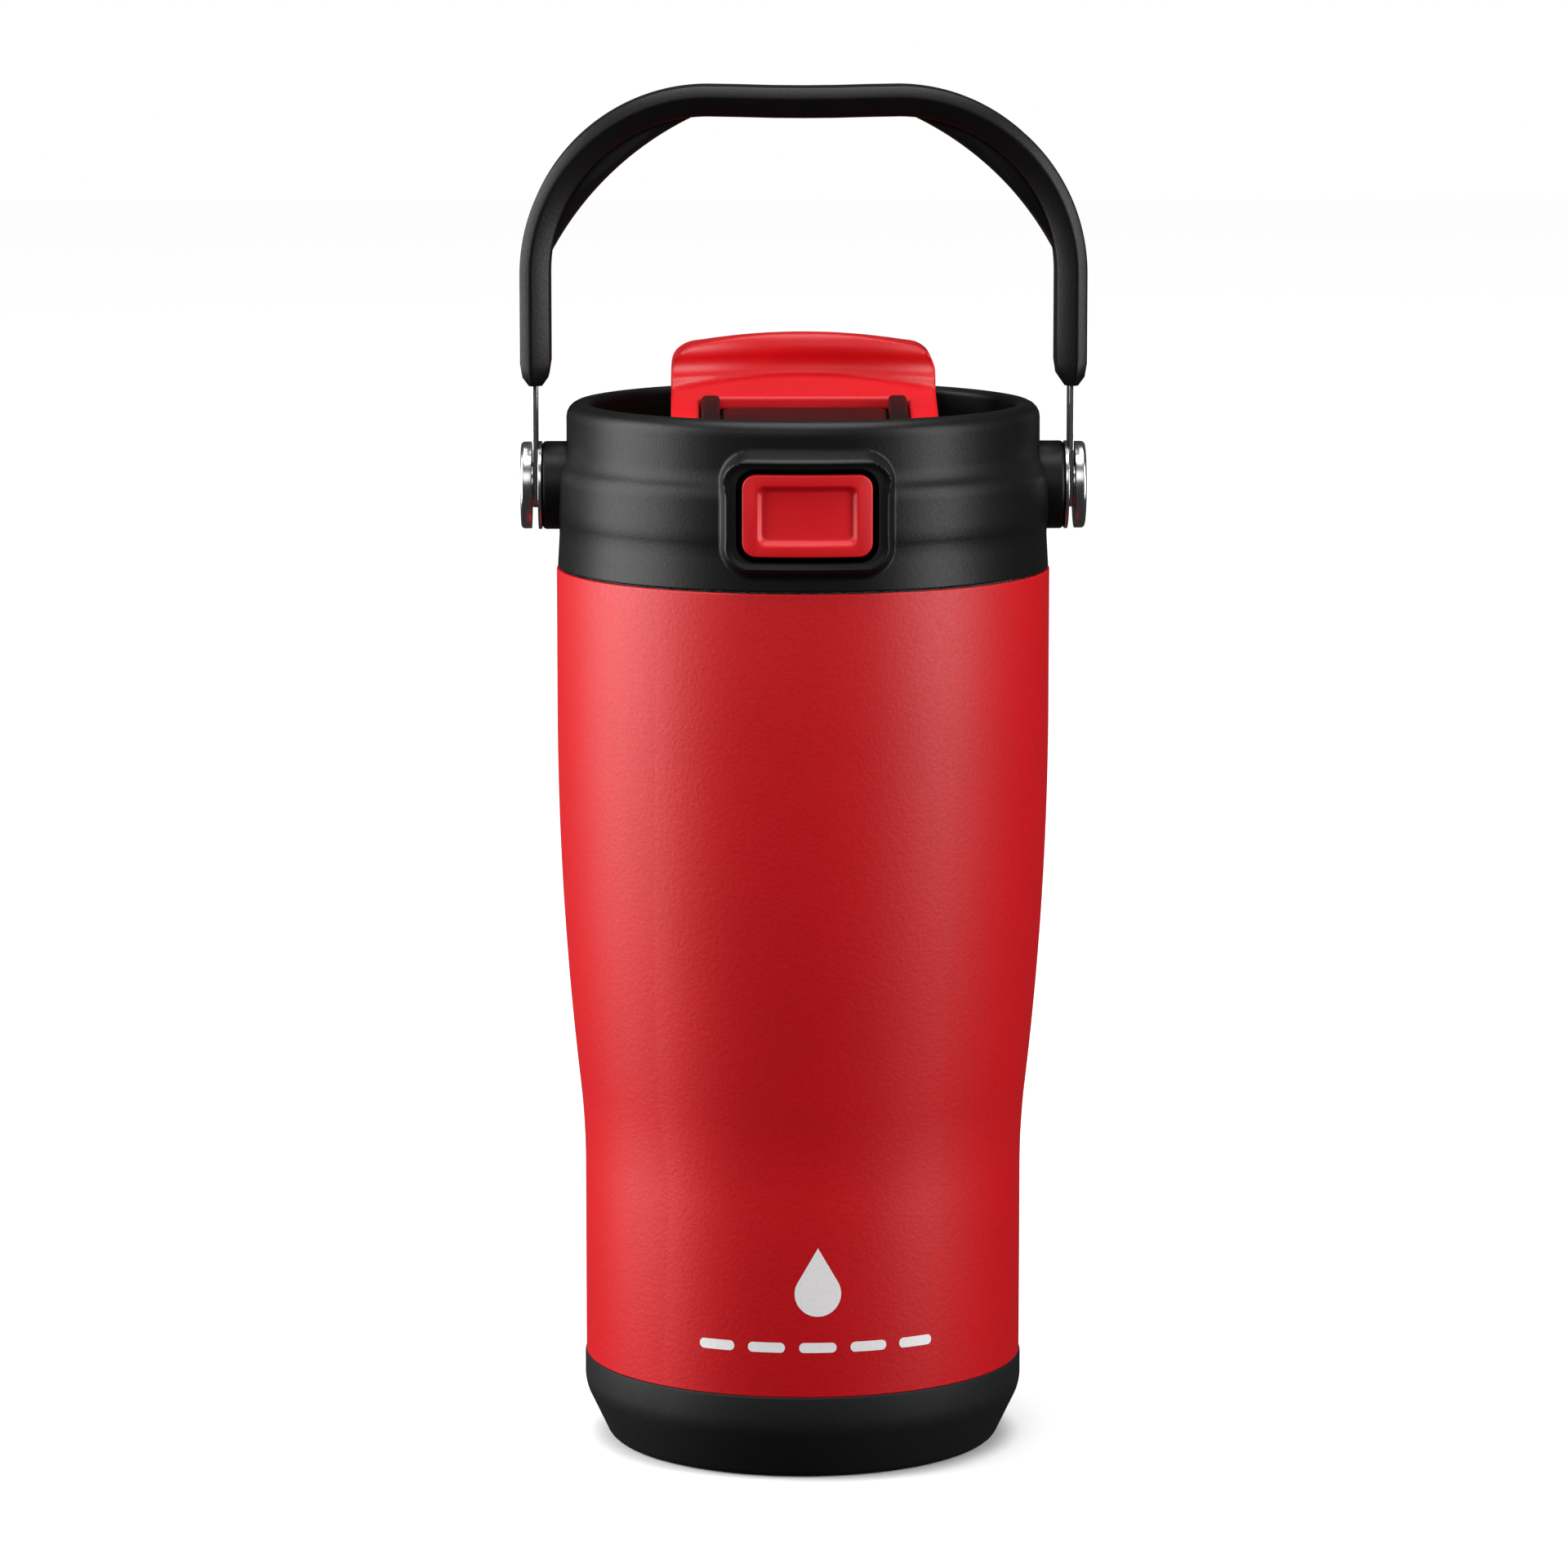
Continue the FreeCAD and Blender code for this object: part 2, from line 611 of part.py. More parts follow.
node("vacuum_seal_bead", turned("VacuumSealBead", [
    ("0", "D.cap_floor - D.bead_drop"),
    ("D.bead_r / 2", "D.cap_floor - D.bead_drop"),
    ("D.bead_r", "D.cap_floor"),
    ("D.seal_hole_r", "D.cap_floor"),
    ("D.seal_hole_r", CAP_TOP),
    ("0", CAP_TOP),
]))

node("getter_pellet", cylinder("GetterPellet", "D.getter_r", "D.getter_thick", x="D.getter_x", z=CAP_TOP))

GAP = "(D.shell_wall + D.vacuum_gap)"
INNER = f"({GAP} + D.liner_wall)"
FLOOR_TOP = "(D.liner_floor + D.liner_wall)"
liner_wall = turned("LinerWall", [
    (LINER, "D.body_top"),
    *flank(INNER),
    (f"{FOOT_R} - {INNER}", "D.liner_floor + D.liner_corner", "-(D.liner_corner - D.liner_wall)"),
    (f"{FOOT_R} - {GAP} - D.liner_corner", FLOOR_TOP),
    ("0", FLOOR_TOP),
    ("0", "D.liner_floor"),
    (f"{FOOT_R} - {GAP} - D.liner_corner", "D.liner_floor", "D.liner_corner"),
    (f"{FOOT_R} - {GAP}", "D.liner_floor + D.liner_corner"),
    *reversed_run(flank(GAP)),
    (f"D.body_r - {GAP}", "D.body_top - D.liner_wall"),
    ("D.body_r - D.shell_wall", "D.body_top - D.liner_wall"),
    ("D.body_r - D.shell_wall", "D.body_top"),
])
LINER_RIDGE = "(D.body_top - D.thread_down)"
liner_ridge = thread("LinerRidge", f"({LINER} + D.liner_wall / 4)", f"({LINER} - D.thread_high)",
                     LINER_RIDGE)
node("inner_liner", fuse("InnerLiner", liner_wall, liner_ridge))

node("base_boot", turned("BaseBoot", [
    ("0", "0"),
    ("D.groove_in_r", "0"),
    ("D.groove_in_r", "D.groove_deep"),
    ("D.groove_out_r", "D.groove_deep"),
    ("D.groove_out_r", "0"),
    (f"{BOOT_FOOT_R} - D.boot_round", "0"),
    (f"{BOOT_FOOT_R} + D.boot_round * {CONE}", "D.boot_round"),
    (BOOT_R, "D.boot_break"),
    (BOOT_R, "D.boot_top"),
    (SHELL_LOW, "D.boot_top"),
    (SHELL_LOW, SHELL_BREAK),
    (cone_at("D.boot_floor", "D.boot_wall"), "D.boot_floor"),
    ("0", "D.boot_floor"),
]))

# ---------------------------------------------------------------- lid gasket

GASKET_LOW = "(D.body_top + D.gasket_play)"
GASKET_TOP = f"({GASKET_LOW} + D.gasket_thick)"
FLANGE_LOW = f"({GASKET_TOP} + D.gasket_play)"
GASKET_IN = f"({PLUG} + D.gap_side / 2)"
GASKET_OUT = f"({SKIRT} - D.gap_side)"
GASKET_MID = f"({GASKET_IN} / 2 + {GASKET_OUT} / 2)"
node("lid_gasket", turned("LidGasket", [
    (GASKET_IN, GASKET_LOW),
    (f"{GASKET_MID} - D.gasket_rib", GASKET_LOW),
    (GASKET_MID, f"{GASKET_LOW} + D.gasket_rib"),
    (f"{GASKET_MID} + D.gasket_rib", GASKET_LOW),
    (GASKET_OUT, GASKET_LOW),
    (GASKET_OUT, GASKET_TOP),
    (GASKET_IN, GASKET_TOP),
]))

# ---------------------------------------------------------------- lid plug

PLUG_IN = f"({PLUG} - D.plug_wall)"
PLUG_LOW = "(D.body_top - D.plug_deep)"
PLUG_FLOOR = f"({PLUG_LOW} + D.plug_floor)"
PLUG_TOP = f"({LID} + D.weld_up)"
plug_wall = turned("PlugWall", [
    ("0", PLUG_LOW),
    (PLUG, PLUG_LOW),
    (PLUG, FLANGE_LOW),
    (f"{SKIRT} - D.slip", FLANGE_LOW),
    (f"{SKIRT} - D.slip", f"{FLANGE_LOW} + D.flange_thick"),
    (PLUG, f"{FLANGE_LOW} + D.flange_thick"),
    (PLUG, PLUG_TOP),
    (PLUG_IN, PLUG_TOP),
    (PLUG_IN, PLUG_FLOOR),
    ("0", PLUG_FLOOR),
])
plug_ridge = thread(
    "PlugRidge", f"({PLUG} - D.slip)", f"({PLUG} + D.thread_high)", f"({LINER_RIDGE} - D.thread_seat)"
)
SEAL_OUT = "(D.tail_r + D.seal_thick)"
collar = cylinder(
    "SealCollar", f"{SEAL_OUT} + D.collar_wall", "D.seal_tall + D.plug_floor", y="D.spout_y", z=PLUG_LOW
)
collar_bore = cylinder("CollarBore", SEAL_OUT, "D.seal_tall + D.slip", y="D.spout_y", z=PLUG_FLOOR)
drink_hole = cylinder("DrinkHole", "D.spout_bore", "D.plug_floor * 3", y="D.spout_y",
                      z=f"{PLUG_LOW} - D.plug_floor")
node("lid_plug", cut("LidPlug", fuse("PlugSolid", plug_wall, plug_ridge, collar), collar_bore, drink_hole))

# ---------------------------------------------------------------- spout and its seal

SPOUT_TOP = f"({DECK} + D.spout_up)"


def at_spout(body):
    """Moves a piece that was turned about Z to the spout's own axis."""
    return bind(body, Placement__Base__y="D.spout_y")


node("spout", at_spout(turned("Spout", [
    ("D.spout_bore", f"{PLUG_FLOOR} + D.slip"),
    ("D.tail_r", f"{PLUG_FLOOR} + D.slip"),
    ("D.tail_r", DECK),
    ("D.spout_r + D.spout_flange", DECK),
    ("D.spout_r + D.spout_flange", f"{DECK} + D.spout_flange_thick"),
    ("D.spout_r", f"{DECK} + D.spout_flange_thick"),
    ("D.spout_r", f"{SPOUT_TOP} - D.rim_in", "D.rim_in"),
    ("D.spout_r - D.rim_in", SPOUT_TOP),
    ("D.spout_bore", SPOUT_TOP),
])))

node("spout_seal", at_spout(turned("SpoutSeal", [
    ("D.tail_r", PLUG_FLOOR),
    (SEAL_OUT, PLUG_FLOOR),
    (SEAL_OUT, f"{PLUG_FLOOR} + D.seal_tall"),
    ("D.tail_r", f"{PLUG_FLOOR} + D.seal_tall"),
])))

# ---------------------------------------------------------------- lid shell

SPIGOT = f"({PLUG_IN} - D.slip)"
CHANNEL_IN = f"({RECESS} + D.inner_wall)"
RIM_TOP = f"({LID} + D.lid_high)"
RING = "(D.body_r - D.ring_in)"
ring = turned("LidRing", [
    ("D.body_r - D.skirt_in", LID),
    ("D.body_r - D.waist_in", f"{LID} + D.waist_up"),
    ("D.body_r", f"{LID} + D.band_up"),
    ("D.body_r", f"{LID} + D.band_end"),
    (RING, f"{LID} + D.shoulder_up"),
    (RING, f"{RIM_TOP} - D.rim_out", "D.rim_out"),
    (f"{RING} - D.rim_out", RIM_TOP),
    (f"{RECESS} + D.rim_in", RIM_TOP, "D.rim_in"),
    (RECESS, f"{RIM_TOP} - D.rim_in"),
    (RECESS_LOW, DECK),
    ("0", DECK),
    ("0", f"{DECK} - D.deck_thick"),
    (f"{SPIGOT} - D.spigot_wall", f"{DECK} - D.deck_thick"),
    (f"{SPIGOT} - D.spigot_wall", f"{LID} + D.spigot_up"),
    (SPIGOT, f"{LID} + D.spigot_up"),
    (SPIGOT, PLUG_TOP),
    (CHANNEL_IN, PLUG_TOP),
    (CHANNEL_IN, f"{LID} + D.channel_up"),
    (SKIRT, f"{LID} + D.channel_up"),
    (SKIRT, LID),
])

ear_solid = cylinder("EarBoss", "D.ear_r", f"{EAR} - {CHANNEL_IN}", x=CHANNEL_IN, z=PIVOT, along=ALONG_X)
ear = softened("Ear", ear_solid, "D.head_round", lambda p: p.x > size(EAR) - 0.1)
ear_left = mirrored("EarLeft", ear)
insert_bore = cylinder("InsertBore", "D.insert_r", "D.insert_long + D.slip", x=f"{EAR} - D.insert_long",
                       z=PIVOT, along=ALONG_X)
insert_bore_left = mirrored("InsertBoreLeft", insert_bore)

BUTTON = f"({LID} + D.button_up)"
BUTTON_HALF = "(D.button_wide / 2)"
BUTTON_RISE = "(D.button_tall / 2)"


def framed(margin, corner):
    """The button's rounded outline, grown by a margin."""
    return rounded(
        f"(-{BUTTON_HALF} - {margin})", f"({BUTTON} - {BUTTON_RISE} - {margin})",
        f"({BUTTON_HALF} + {margin})", f"({BUTTON} + {BUTTON_RISE} + {margin})", corner,
    )


FRAME_FRONT = "(D.body_r + D.frame_out)"
frame_block = prism("FrameBlock", "XZ_Plane", framed("(D.button_gap + D.frame_edge)", "D.frame_corner"),
                    CHANNEL_IN, f"D.body_r + D.frame_out * 3 - {CHANNEL_IN}")
frame_drum = cylinder("FrameDrum", FRAME_FRONT, "D.lid_high", z=LID)
frame_core = cylinder("FrameCore", SKIRT, "D.lid_high + D.shoulder_up", z=f"{LID} - D.lid_high")
frame_root = cylinder("FrameRoot", f"{RING} - D.gap_side", "D.lid_high",
                      z=f"{LID} + D.shoulder_up - D.slip")
frame = cut("ButtonFrame", common("FrameCurved", frame_block, frame_drum), frame_core, frame_root)

window_block = prism("WindowBlock", "XZ_Plane", framed("D.button_gap", "(D.button_corner + D.button_gap)"),
                     f"{RECESS} + D.slip", "D.body_r")
window_core = cylinder("WindowCore", CHANNEL_IN, "D.lid_high * 2", z=f"{LID} - D.lid_high / 2")
window = cut("ButtonWindow", window_block, window_core)

STEM_LOW = f"({DECK} + D.stem_low)"
stem_slot = wide_box("StemSlot", "D.stem_half + D.gap_side", (f"-({SKIRT})", "-D.house_rear * 2"),
                     (f"{STEM_LOW} - D.gap_side", f"{STEM_LOW} + D.stem_tall + D.gap_side"))


def slope_at(front, lift):
    """Height of the sloping tops, a distance before the axis and lifted off it."""
    return f"({LID} + D.slope_up + ({lift}) - (({front}) - D.slope_y) * D.slope)"


def sloped(name, half_in, half_out, front, rear, lift):
    """A block on the deck whose top follows the slope; front and rear lie before the axis."""
    corners = [
        (f"-({front})", DECK),
        (f"-({rear})", DECK),
        (f"-({rear})", slope_at(rear, lift)),
        (f"-({front})", slope_at(front, lift)),
    ]
    return prism(name, "YZ_Plane", corners, half_in, f"({half_out}) - ({half_in})")


HOUSE_IN = "(D.house_half - D.house_wall)"
COVER_LOW = "(0 - D.cover_thick)"
rail = sloped("Rail", HOUSE_IN, "D.house_half", f"{RECESS} + 1", "D.rail_rear", "D.rail_up")
rail_left = mirrored("RailLeft", rail)
rear_wall = sloped("HouseRear", f"-({HOUSE_IN})", HOUSE_IN, "D.house_rear + D.house_rear_thick",
                   "D.house_rear", COVER_LOW)
spring_seat = sloped("SpringSeat", f"-({HOUSE_IN})", HOUSE_IN, "D.seat_front",
                     "D.seat_front - D.seat_thick", COVER_LOW)
house_drum = cylinder("HouseDrum", f"{RECESS} + D.slip * 5", "D.lid_high", z=DECK)
housing = common("LatchHousing", fuse("HousingWalls", rail, rail_left, rear_wall, spring_seat), house_drum)
slide_slot = wide_box("SlideSlot", "D.slide_half + D.gap_side", ("-D.seat_front - D.slip", "-D.rail_rear"),
                      (DECK, f"{DECK} + D.slide_low + D.slide_thick + D.gap_side"))

HINGE_Y = f"({RECESS} - D.hinge_in)"
HINGE_Z = f"({LID} + D.hinge_up)"
lug = prism("HingeLug", "YZ_Plane", [
    (f"{HINGE_Y} - D.lug_r", f"{DECK} - D.deck_thick / 2"),
    (f"{HINGE_Y} + D.lug_r", f"{DECK} - D.deck_thick / 2"),
    (f"{HINGE_Y} + D.lug_r", HINGE_Z, "D.lug_r"),
    (HINGE_Y, f"{HINGE_Z} + D.lug_r", "D.lug_r"),
    (f"{HINGE_Y} - D.lug_r", HINGE_Z),
], "D.lug_in", "D.lug_thick", holes=[(HINGE_Y, HINGE_Z, "D.pin_r")])
lug_left = mirrored("HingeLugLeft", lug)
spout_hole = cylinder("SpoutHole", "D.tail_r", "D.deck_thick * 3", y="D.spout_y",
                      z=f"{DECK} - D.deck_thick * 2")

lid_solid = fuse("LidSolid", ring, ear, ear_left, frame, housing, lug, lug_left)
node("lid_shell", cut("LidShell", lid_solid, window, stem_slot, slide_slot, spout_hole,
                      insert_bore, insert_bore_left))

COVER_HALF = f"({HOUSE_IN} - D.cover_gap)"
cover_plate = prism("CoverPlate", "YZ_Plane", [
    (f"-({RECESS} + 1)", slope_at(f"{RECESS} + 1", COVER_LOW)),
    ("-D.cover_rear", slope_at("D.cover_rear", COVER_LOW)),
    ("-D.cover_rear", slope_at("D.cover_rear", "0")),
    (f"-({RECESS} + 1)", slope_at(f"{RECESS} + 1", "0")),
], f"-({COVER_HALF})", f"{COVER_HALF} * 2")
cover_plan = prism("CoverPlan", "XY_Plane", [
    (f"-({COVER_HALF})", f"-({RECESS} + 2)"),
    (COVER_HALF, f"-({RECESS} + 2)"),
    (COVER_HALF, "-D.cover_rear - D.cover_chamfer"),
    (f"{COVER_HALF} - D.cover_chamfer", "-D.cover_rear"),
    (f"-({COVER_HALF} - D.cover_chamfer)", "-D.cover_rear"),
    (f"-({COVER_HALF})", "-D.cover_rear - D.cover_chamfer"),
], DECK, "D.lid_high")
cover_drum = cylinder("CoverDrum", f"{RECESS_LOW} - D.cover_gap", "D.lid_high", z=DECK)
node("latch_cover", common("LatchCover", common("CoverShape", cover_plate, cover_plan), cover_drum))

# ---------------------------------------------------------------- button, latch slide, spring

BUTTON_FACE = "(D.body_r + D.button_out)"
cap_block = prism("CapBlock", "XZ_Plane", framed("0", "D.button_corner"), CHANNEL_IN, "D.body_r")
cap_drum = cylinder("CapDrum", BUTTON_FACE, "D.lid_high", z=LID)
cap_core = cylinder("CapCore", f"{BUTTON_FACE} - D.button_thick", "D.lid_high * 2",
                    z=f"{LID} - D.lid_high / 2")
cap_plate = cut("CapPlate", common("CapCurved", cap_block, cap_drum), cap_core)
dish_block = prism("DishBlock", "XZ_Plane", framed("(0 - D.dish_edge)", "D.dish_slope"), CHANNEL_IN,
                   "D.body_r")
dish_core = cylinder("DishCore", f"{BUTTON_FACE} - D.dish_deep", "D.lid_high * 2",
                     z=f"{LID} - D.lid_high / 2")
dish = cut("Dish", dish_block, dish_core)
STEM_END = f"({RECESS} - D.stem_end)"
stem = wide_box("Stem", "D.stem_half",
                (f"-({BUTTON_FACE} - D.button_thick / 2 - D.dish_deep)", f"-({STEM_END})"),
                (STEM_LOW, f"{STEM_LOW} + D.stem_tall"))
node("button_cap", fuse("ButtonCap", cut("CapDished", cap_plate, dish), stem))

SLIDE_LOW = f"({DECK} + D.slide_low)"
SLIDE_TOP = f"({SLIDE_LOW} + D.slide_thick)"
BLOCK_REAR = f"({STEM_END} - D.block_long)"
HOOK_FRONT = "(D.bridge_y - D.catch_thick - D.catch_lip - D.latch_play)"
HOOK_REAR = f"({HOOK_FRONT} - D.hook_long)"
slide_plate = wide_box("SlidePlate", "D.slide_half", (f"-({BLOCK_REAR})", f"-({HOOK_REAR})"),
                       (SLIDE_LOW, SLIDE_TOP))
slide_block = wide_box("SlideBlock", "D.stem_half", (f"-({STEM_END})", f"-({BLOCK_REAR})"),
                       (SLIDE_LOW, f"{SLIDE_LOW} + D.block_tall"))
runner = box("Runner", ("D.slide_half - D.runner_half * 2", "D.slide_half"),
             (f"-({BLOCK_REAR})", f"-({HOOK_REAR})"),
             (f"{DECK} + D.runner_play", SLIDE_LOW))
slide_window = wide_box("SlideWindow", "D.window_half",
                        (f"-({HOOK_FRONT}) - D.window_long", f"-({HOOK_FRONT})"),
                        (f"{SLIDE_LOW} - D.slip", f"{SLIDE_TOP} + D.slip"))
slide_solid = fuse("SlideSolid", slide_plate, slide_block, runner, mirrored("RunnerLeft", runner))
node("latch_slide", cut("LatchSlide", slide_solid, slide_window))

SPRING_LONG = f"({BLOCK_REAR} - D.seat_front - D.spring_wire * 2)"
button_spring = coil("ButtonSpring", "D.spring_r", f"{SPRING_LONG} / D.spring_turns", SPRING_LONG,
                     "D.spring_wire", 90)
turn(button_spring, *ALONG_Y)
bind(button_spring, Placement__Base__y=f"-({BLOCK_REAR} - D.spring_wire)",
     Placement__Base__z=f"{DECK} + D.spring_up")
node("button_spring", button_spring)

# ---------------------------------------------------------------- flap

FLAP_TOP = f"({LID} + D.hump_up)"
apron = prism("Apron", "YZ_Plane", [
    ("-D.flap_front", slope_at("D.flap_front", "0 - D.apron_thick")),
    ("D.crease_y + D.flap_wall", slope_at("0 - D.crease_y - D.flap_wall", "0 - D.apron_thick")),
    ("D.crease_y + D.flap_wall", slope_at("0 - D.crease_y - D.flap_wall", "0")),
    ("-D.flap_front", slope_at("D.flap_front", "0")),
], "-D.flap_half", "D.flap_half * 2")
OPENING = "(D.house_half + D.opening_gap)"
apron_plan = prism("ApronPlan", "XY_Plane", [
    ("D.flap_half", "D.flap_rear"),
    ("-D.flap_half", "D.flap_rear"),
    ("-D.flap_half", "-D.flap_front + D.leg_corner", "D.leg_corner"),
    ("-D.flap_half + D.leg_corner", "-D.flap_front"),
    (f"-({OPENING})", "-D.flap_front"),
    (f"-({OPENING})", "-D.bridge_y - D.opening_corner", "-(D.opening_corner)"),
    (f"-({OPENING} - D.opening_corner)", "-D.bridge_y"),
    (f"{OPENING} - D.opening_corner", "-D.bridge_y", "-(D.opening_corner)"),
    (OPENING, "-D.bridge_y - D.opening_corner"),
    (OPENING, "-D.flap_front"),
    ("D.flap_half - D.leg_corner", "-D.flap_front", "D.leg_corner"),
    ("D.flap_half", "-D.flap_front + D.leg_corner"),
], DECK, "D.lid_high * 2")

CREASE_Z = slope_at("0 - D.crease_y", "0")
LIP_LOW = "(D.crease_arc + D.lip_in)"


def hump(name, wall):
    """The hump's outline turned about the vertical axis that the crease curves round."""
    corners = [
        (f"D.crease_arc + {wall}", f"{LID} + D.hump_low"),
        (f"D.crease_arc + {wall}", CREASE_Z, "D.scoop_r"),
        (f"{LIP_LOW} + {wall}", f"{FLAP_TOP} - D.lip_tall - {wall}", "-(D.lip_r)"),
        (f"{LIP_LOW} + D.lip_back + {wall}", f"{FLAP_TOP} - {wall}"),
        (f"{LIP_LOW} + D.lip_back + D.hump_flat", f"{FLAP_TOP} - {wall}"),
        (f"D.crease_arc - D.crease_y + D.flap_rear - {wall}", f"{LID} + D.hump_rear_up - {wall}"),
        (f"D.crease_arc - D.crease_y + D.flap_rear - {wall}", f"{LID} + D.hump_low"),
    ]
    body = turned(name, corners)
    return bind(body, Placement__Base__y="D.crease_y - D.crease_arc")


def hump_plan(name, inset):
    """The strip that the hump is cut to, seen from above, with round rear corners."""
    half = f"(D.flap_half - {inset})"
    corner = f"(D.flap_corner - {inset})"
    return prism(name, "XY_Plane", [
        (f"-({half})", "-D.bridge_y"),
        (half, "-D.bridge_y"),
        (half, f"D.flap_rear - {inset} - {corner}", corner),
        (f"{half} - {corner}", f"D.flap_rear - {inset}"),
        (f"-({half} - {corner})", f"D.flap_rear - {inset}", corner),
        (f"-({half})", f"D.flap_rear - {inset} - {corner}"),
    ], DECK, "D.lid_high * 2")


def crown(name, inset):
    """The hump seen from the front: a shallow arch with rounded upper corners."""
    half = f"(D.flap_half - {inset})"
    corner = f"(D.crown_corner - {inset} / 2)"
    arc = f"(D.crown_r - {inset})"
    span = f"({half} - {corner})"
    drop = f"({arc} - sqrt({arc} * {arc} - {span} * {span}))"
    edge = f"({FLAP_TOP} - {inset} - {drop})"
    return prism(name, "XZ_Plane", [
        (f"-({half})", DECK),
        (half, DECK),
        (half, f"{edge} - {corner}", corner),
        (span, edge, arc),
        (f"-({span})", edge, corner),
        (f"-({half})", f"{edge} - {corner}"),
    ], "-D.flap_rear * 2", "D.flap_rear * 4")


hump_outer = common(
    "HumpOuter",
    common("HumpStrip", hump("HumpForm", "0"), hump_plan("HumpPlan", "0")),
    crown("HumpCrown", "0"),
)
hump_inner = common(
    "HumpInner",
    common("HollowStrip", hump("HollowForm", "D.flap_wall"), hump_plan("HollowPlan", "D.flap_wall")),
    crown("HollowCrown", "D.flap_wall"),
)

KNUCKLE_HALF = "(D.lug_in - D.knuckle_gap)"
knuckle = prism("Knuckle", "YZ_Plane", [
    ("D.flap_rear - D.flap_wall", f"{HINGE_Z} - D.knuckle_r"),
    (HINGE_Y, f"{HINGE_Z} - D.knuckle_r", "D.knuckle_r"),
    (f"{HINGE_Y} + D.knuckle_r", HINGE_Z, "D.knuckle_r"),
    (HINGE_Y, f"{HINGE_Z} + D.knuckle_r"),
    ("D.flap_rear - D.flap_wall", f"{HINGE_Z} + D.knuckle_r"),
], "D.coil_half", f"{KNUCKLE_HALF} - D.coil_half", holes=[(HINGE_Y, HINGE_Z, "D.pin_r + D.run_play")])
BRIDGE_Z = slope_at("D.bridge_y", "0 - D.apron_thick / 2")
CATCH_REAR = "(D.bridge_y - D.catch_thick)"
CATCH_LOW = f"({DECK} + D.catch_low)"
catch = prism("Catch", "YZ_Plane", [
    ("-D.bridge_y", CATCH_LOW),
    (f"-({CATCH_REAR} - D.catch_lip)", CATCH_LOW),
    (f"-({CATCH_REAR} - D.catch_lip)", f"{CATCH_LOW} + D.catch_lip_tall / 2"),
    (f"-({CATCH_REAR})", f"{CATCH_LOW} + D.catch_lip_tall"),
    (f"-({CATCH_REAR})", BRIDGE_Z),
    ("-D.bridge_y", BRIDGE_Z),
], "-D.catch_half", "D.catch_half * 2")
STOPPER_LOW = f"({SPOUT_TOP} + D.stopper_gap)"
STOPPER_TOP = f"({STOPPER_LOW} + D.stopper_head_thick)"
boss = cylinder("StopperBoss", "D.boss_r", f"{FLAP_TOP} - D.flap_wall - {STOPPER_TOP}", y="D.spout_y",
                z=STOPPER_TOP)
boss_trimmed = common("BossTrimmed", boss, hump_outer)
stud = cylinder("BossStud", "D.barb_r", "D.barb_long + D.slip", y="D.spout_y",
                z=f"{STOPPER_TOP} - D.barb_long")
apron_cut = common("ApronCut", apron, apron_plan)
flap_shell = cut("FlapShell", fuse("FlapSkin", apron_cut, hump_outer), hump_inner)
node("flap", fuse("Flap", flap_shell, knuckle, mirrored("KnuckleLeft", knuckle), catch, boss_trimmed, stud))

node("flap_stopper", at_spout(turned("FlapStopper", [
    ("0", f"{SPOUT_TOP} - D.stopper_deep"),
    ("D.stopper_tip", f"{SPOUT_TOP} - D.stopper_deep"),
    ("D.stopper_r", STOPPER_LOW),
    ("D.stopper_head", STOPPER_LOW),
    ("D.stopper_head", STOPPER_TOP),
    ("D.barb_r", STOPPER_TOP),
    ("D.barb_r", f"{STOPPER_TOP} - D.barb_long"),
    ("0", f"{STOPPER_TOP} - D.barb_long"),
])))

node("hinge_pin", cylinder("HingePin", "D.pin_r", "D.pin_half * 2", x="-D.pin_half", y=HINGE_Y, z=HINGE_Z,
                           along=ALONG_X))

COIL_LONG = "(D.coil_pitch * D.coil_turns)"
winding = coil("Winding", "D.coil_r", "D.coil_pitch", COIL_LONG, "D.coil_wire", 90)
turn(winding, *ALONG_X)
bind(winding, Placement__Base__x=f"-({COIL_LONG}) / 2", Placement__Base__y=HINGE_Y,
     Placement__Base__z=HINGE_Z)
fixed_leg = cylinder("FixedLeg", "D.coil_wire", f"{HINGE_Z} - {DECK} - D.slip", x=f"{COIL_LONG} / 2",
                     y=f"{HINGE_Y} - D.coil_r", z=f"{DECK} + D.slip")
FREE_LEG = f"({HINGE_Y} - D.flap_rear - D.slip)"
free_leg = cylinder("FreeLeg", "D.coil_wire", FREE_LEG, x=f"-({COIL_LONG}) / 2",
                    y=f"{HINGE_Y} - {FREE_LEG}",
                    z=f"{HINGE_Z} - D.coil_r", along=ALONG_Y)
node("flap_spring", fuse("FlapSpring", winding, fixed_leg, free_leg))

# ---------------------------------------------------------------- handle pivots

insert_body = cylinder("InsertBody", "D.insert_r", "D.insert_long", x=f"{EAR} - D.insert_long", z=PIVOT,
                       along=ALONG_X)
insert_hole = cylinder("InsertHole", "D.shank_r", "D.insert_long * 2", x=f"{EAR} - D.insert_long * 1.5",
                       z=PIVOT, along=ALONG_X)
node("ear_inserts", pair("EarInserts", cut("InsertRight", insert_body, insert_hole)))

LINK_IN = f"({EAR} + D.washer_thick + D.side_play)"
LINK_OUT = f"({LINK_IN} + D.link_thick)"
DISC_IN = f"({LINK_OUT} + D.side_play)"
HEAD_IN = f"({DISC_IN} + D.disc_thick)"


def washer(name, outer, inner_x, thick):
    ring_body = cylinder(name + "Disc", outer, thick, x=inner_x, z=PIVOT, along=ALONG_X)
    hole = cylinder(name + "Hole", "D.shoulder_r", f"{thick} * 3", x=f"{inner_x} - {thick}", z=PIVOT,
                    along=ALONG_X)
    return pair(name, cut(name + "Right", ring_body, hole))


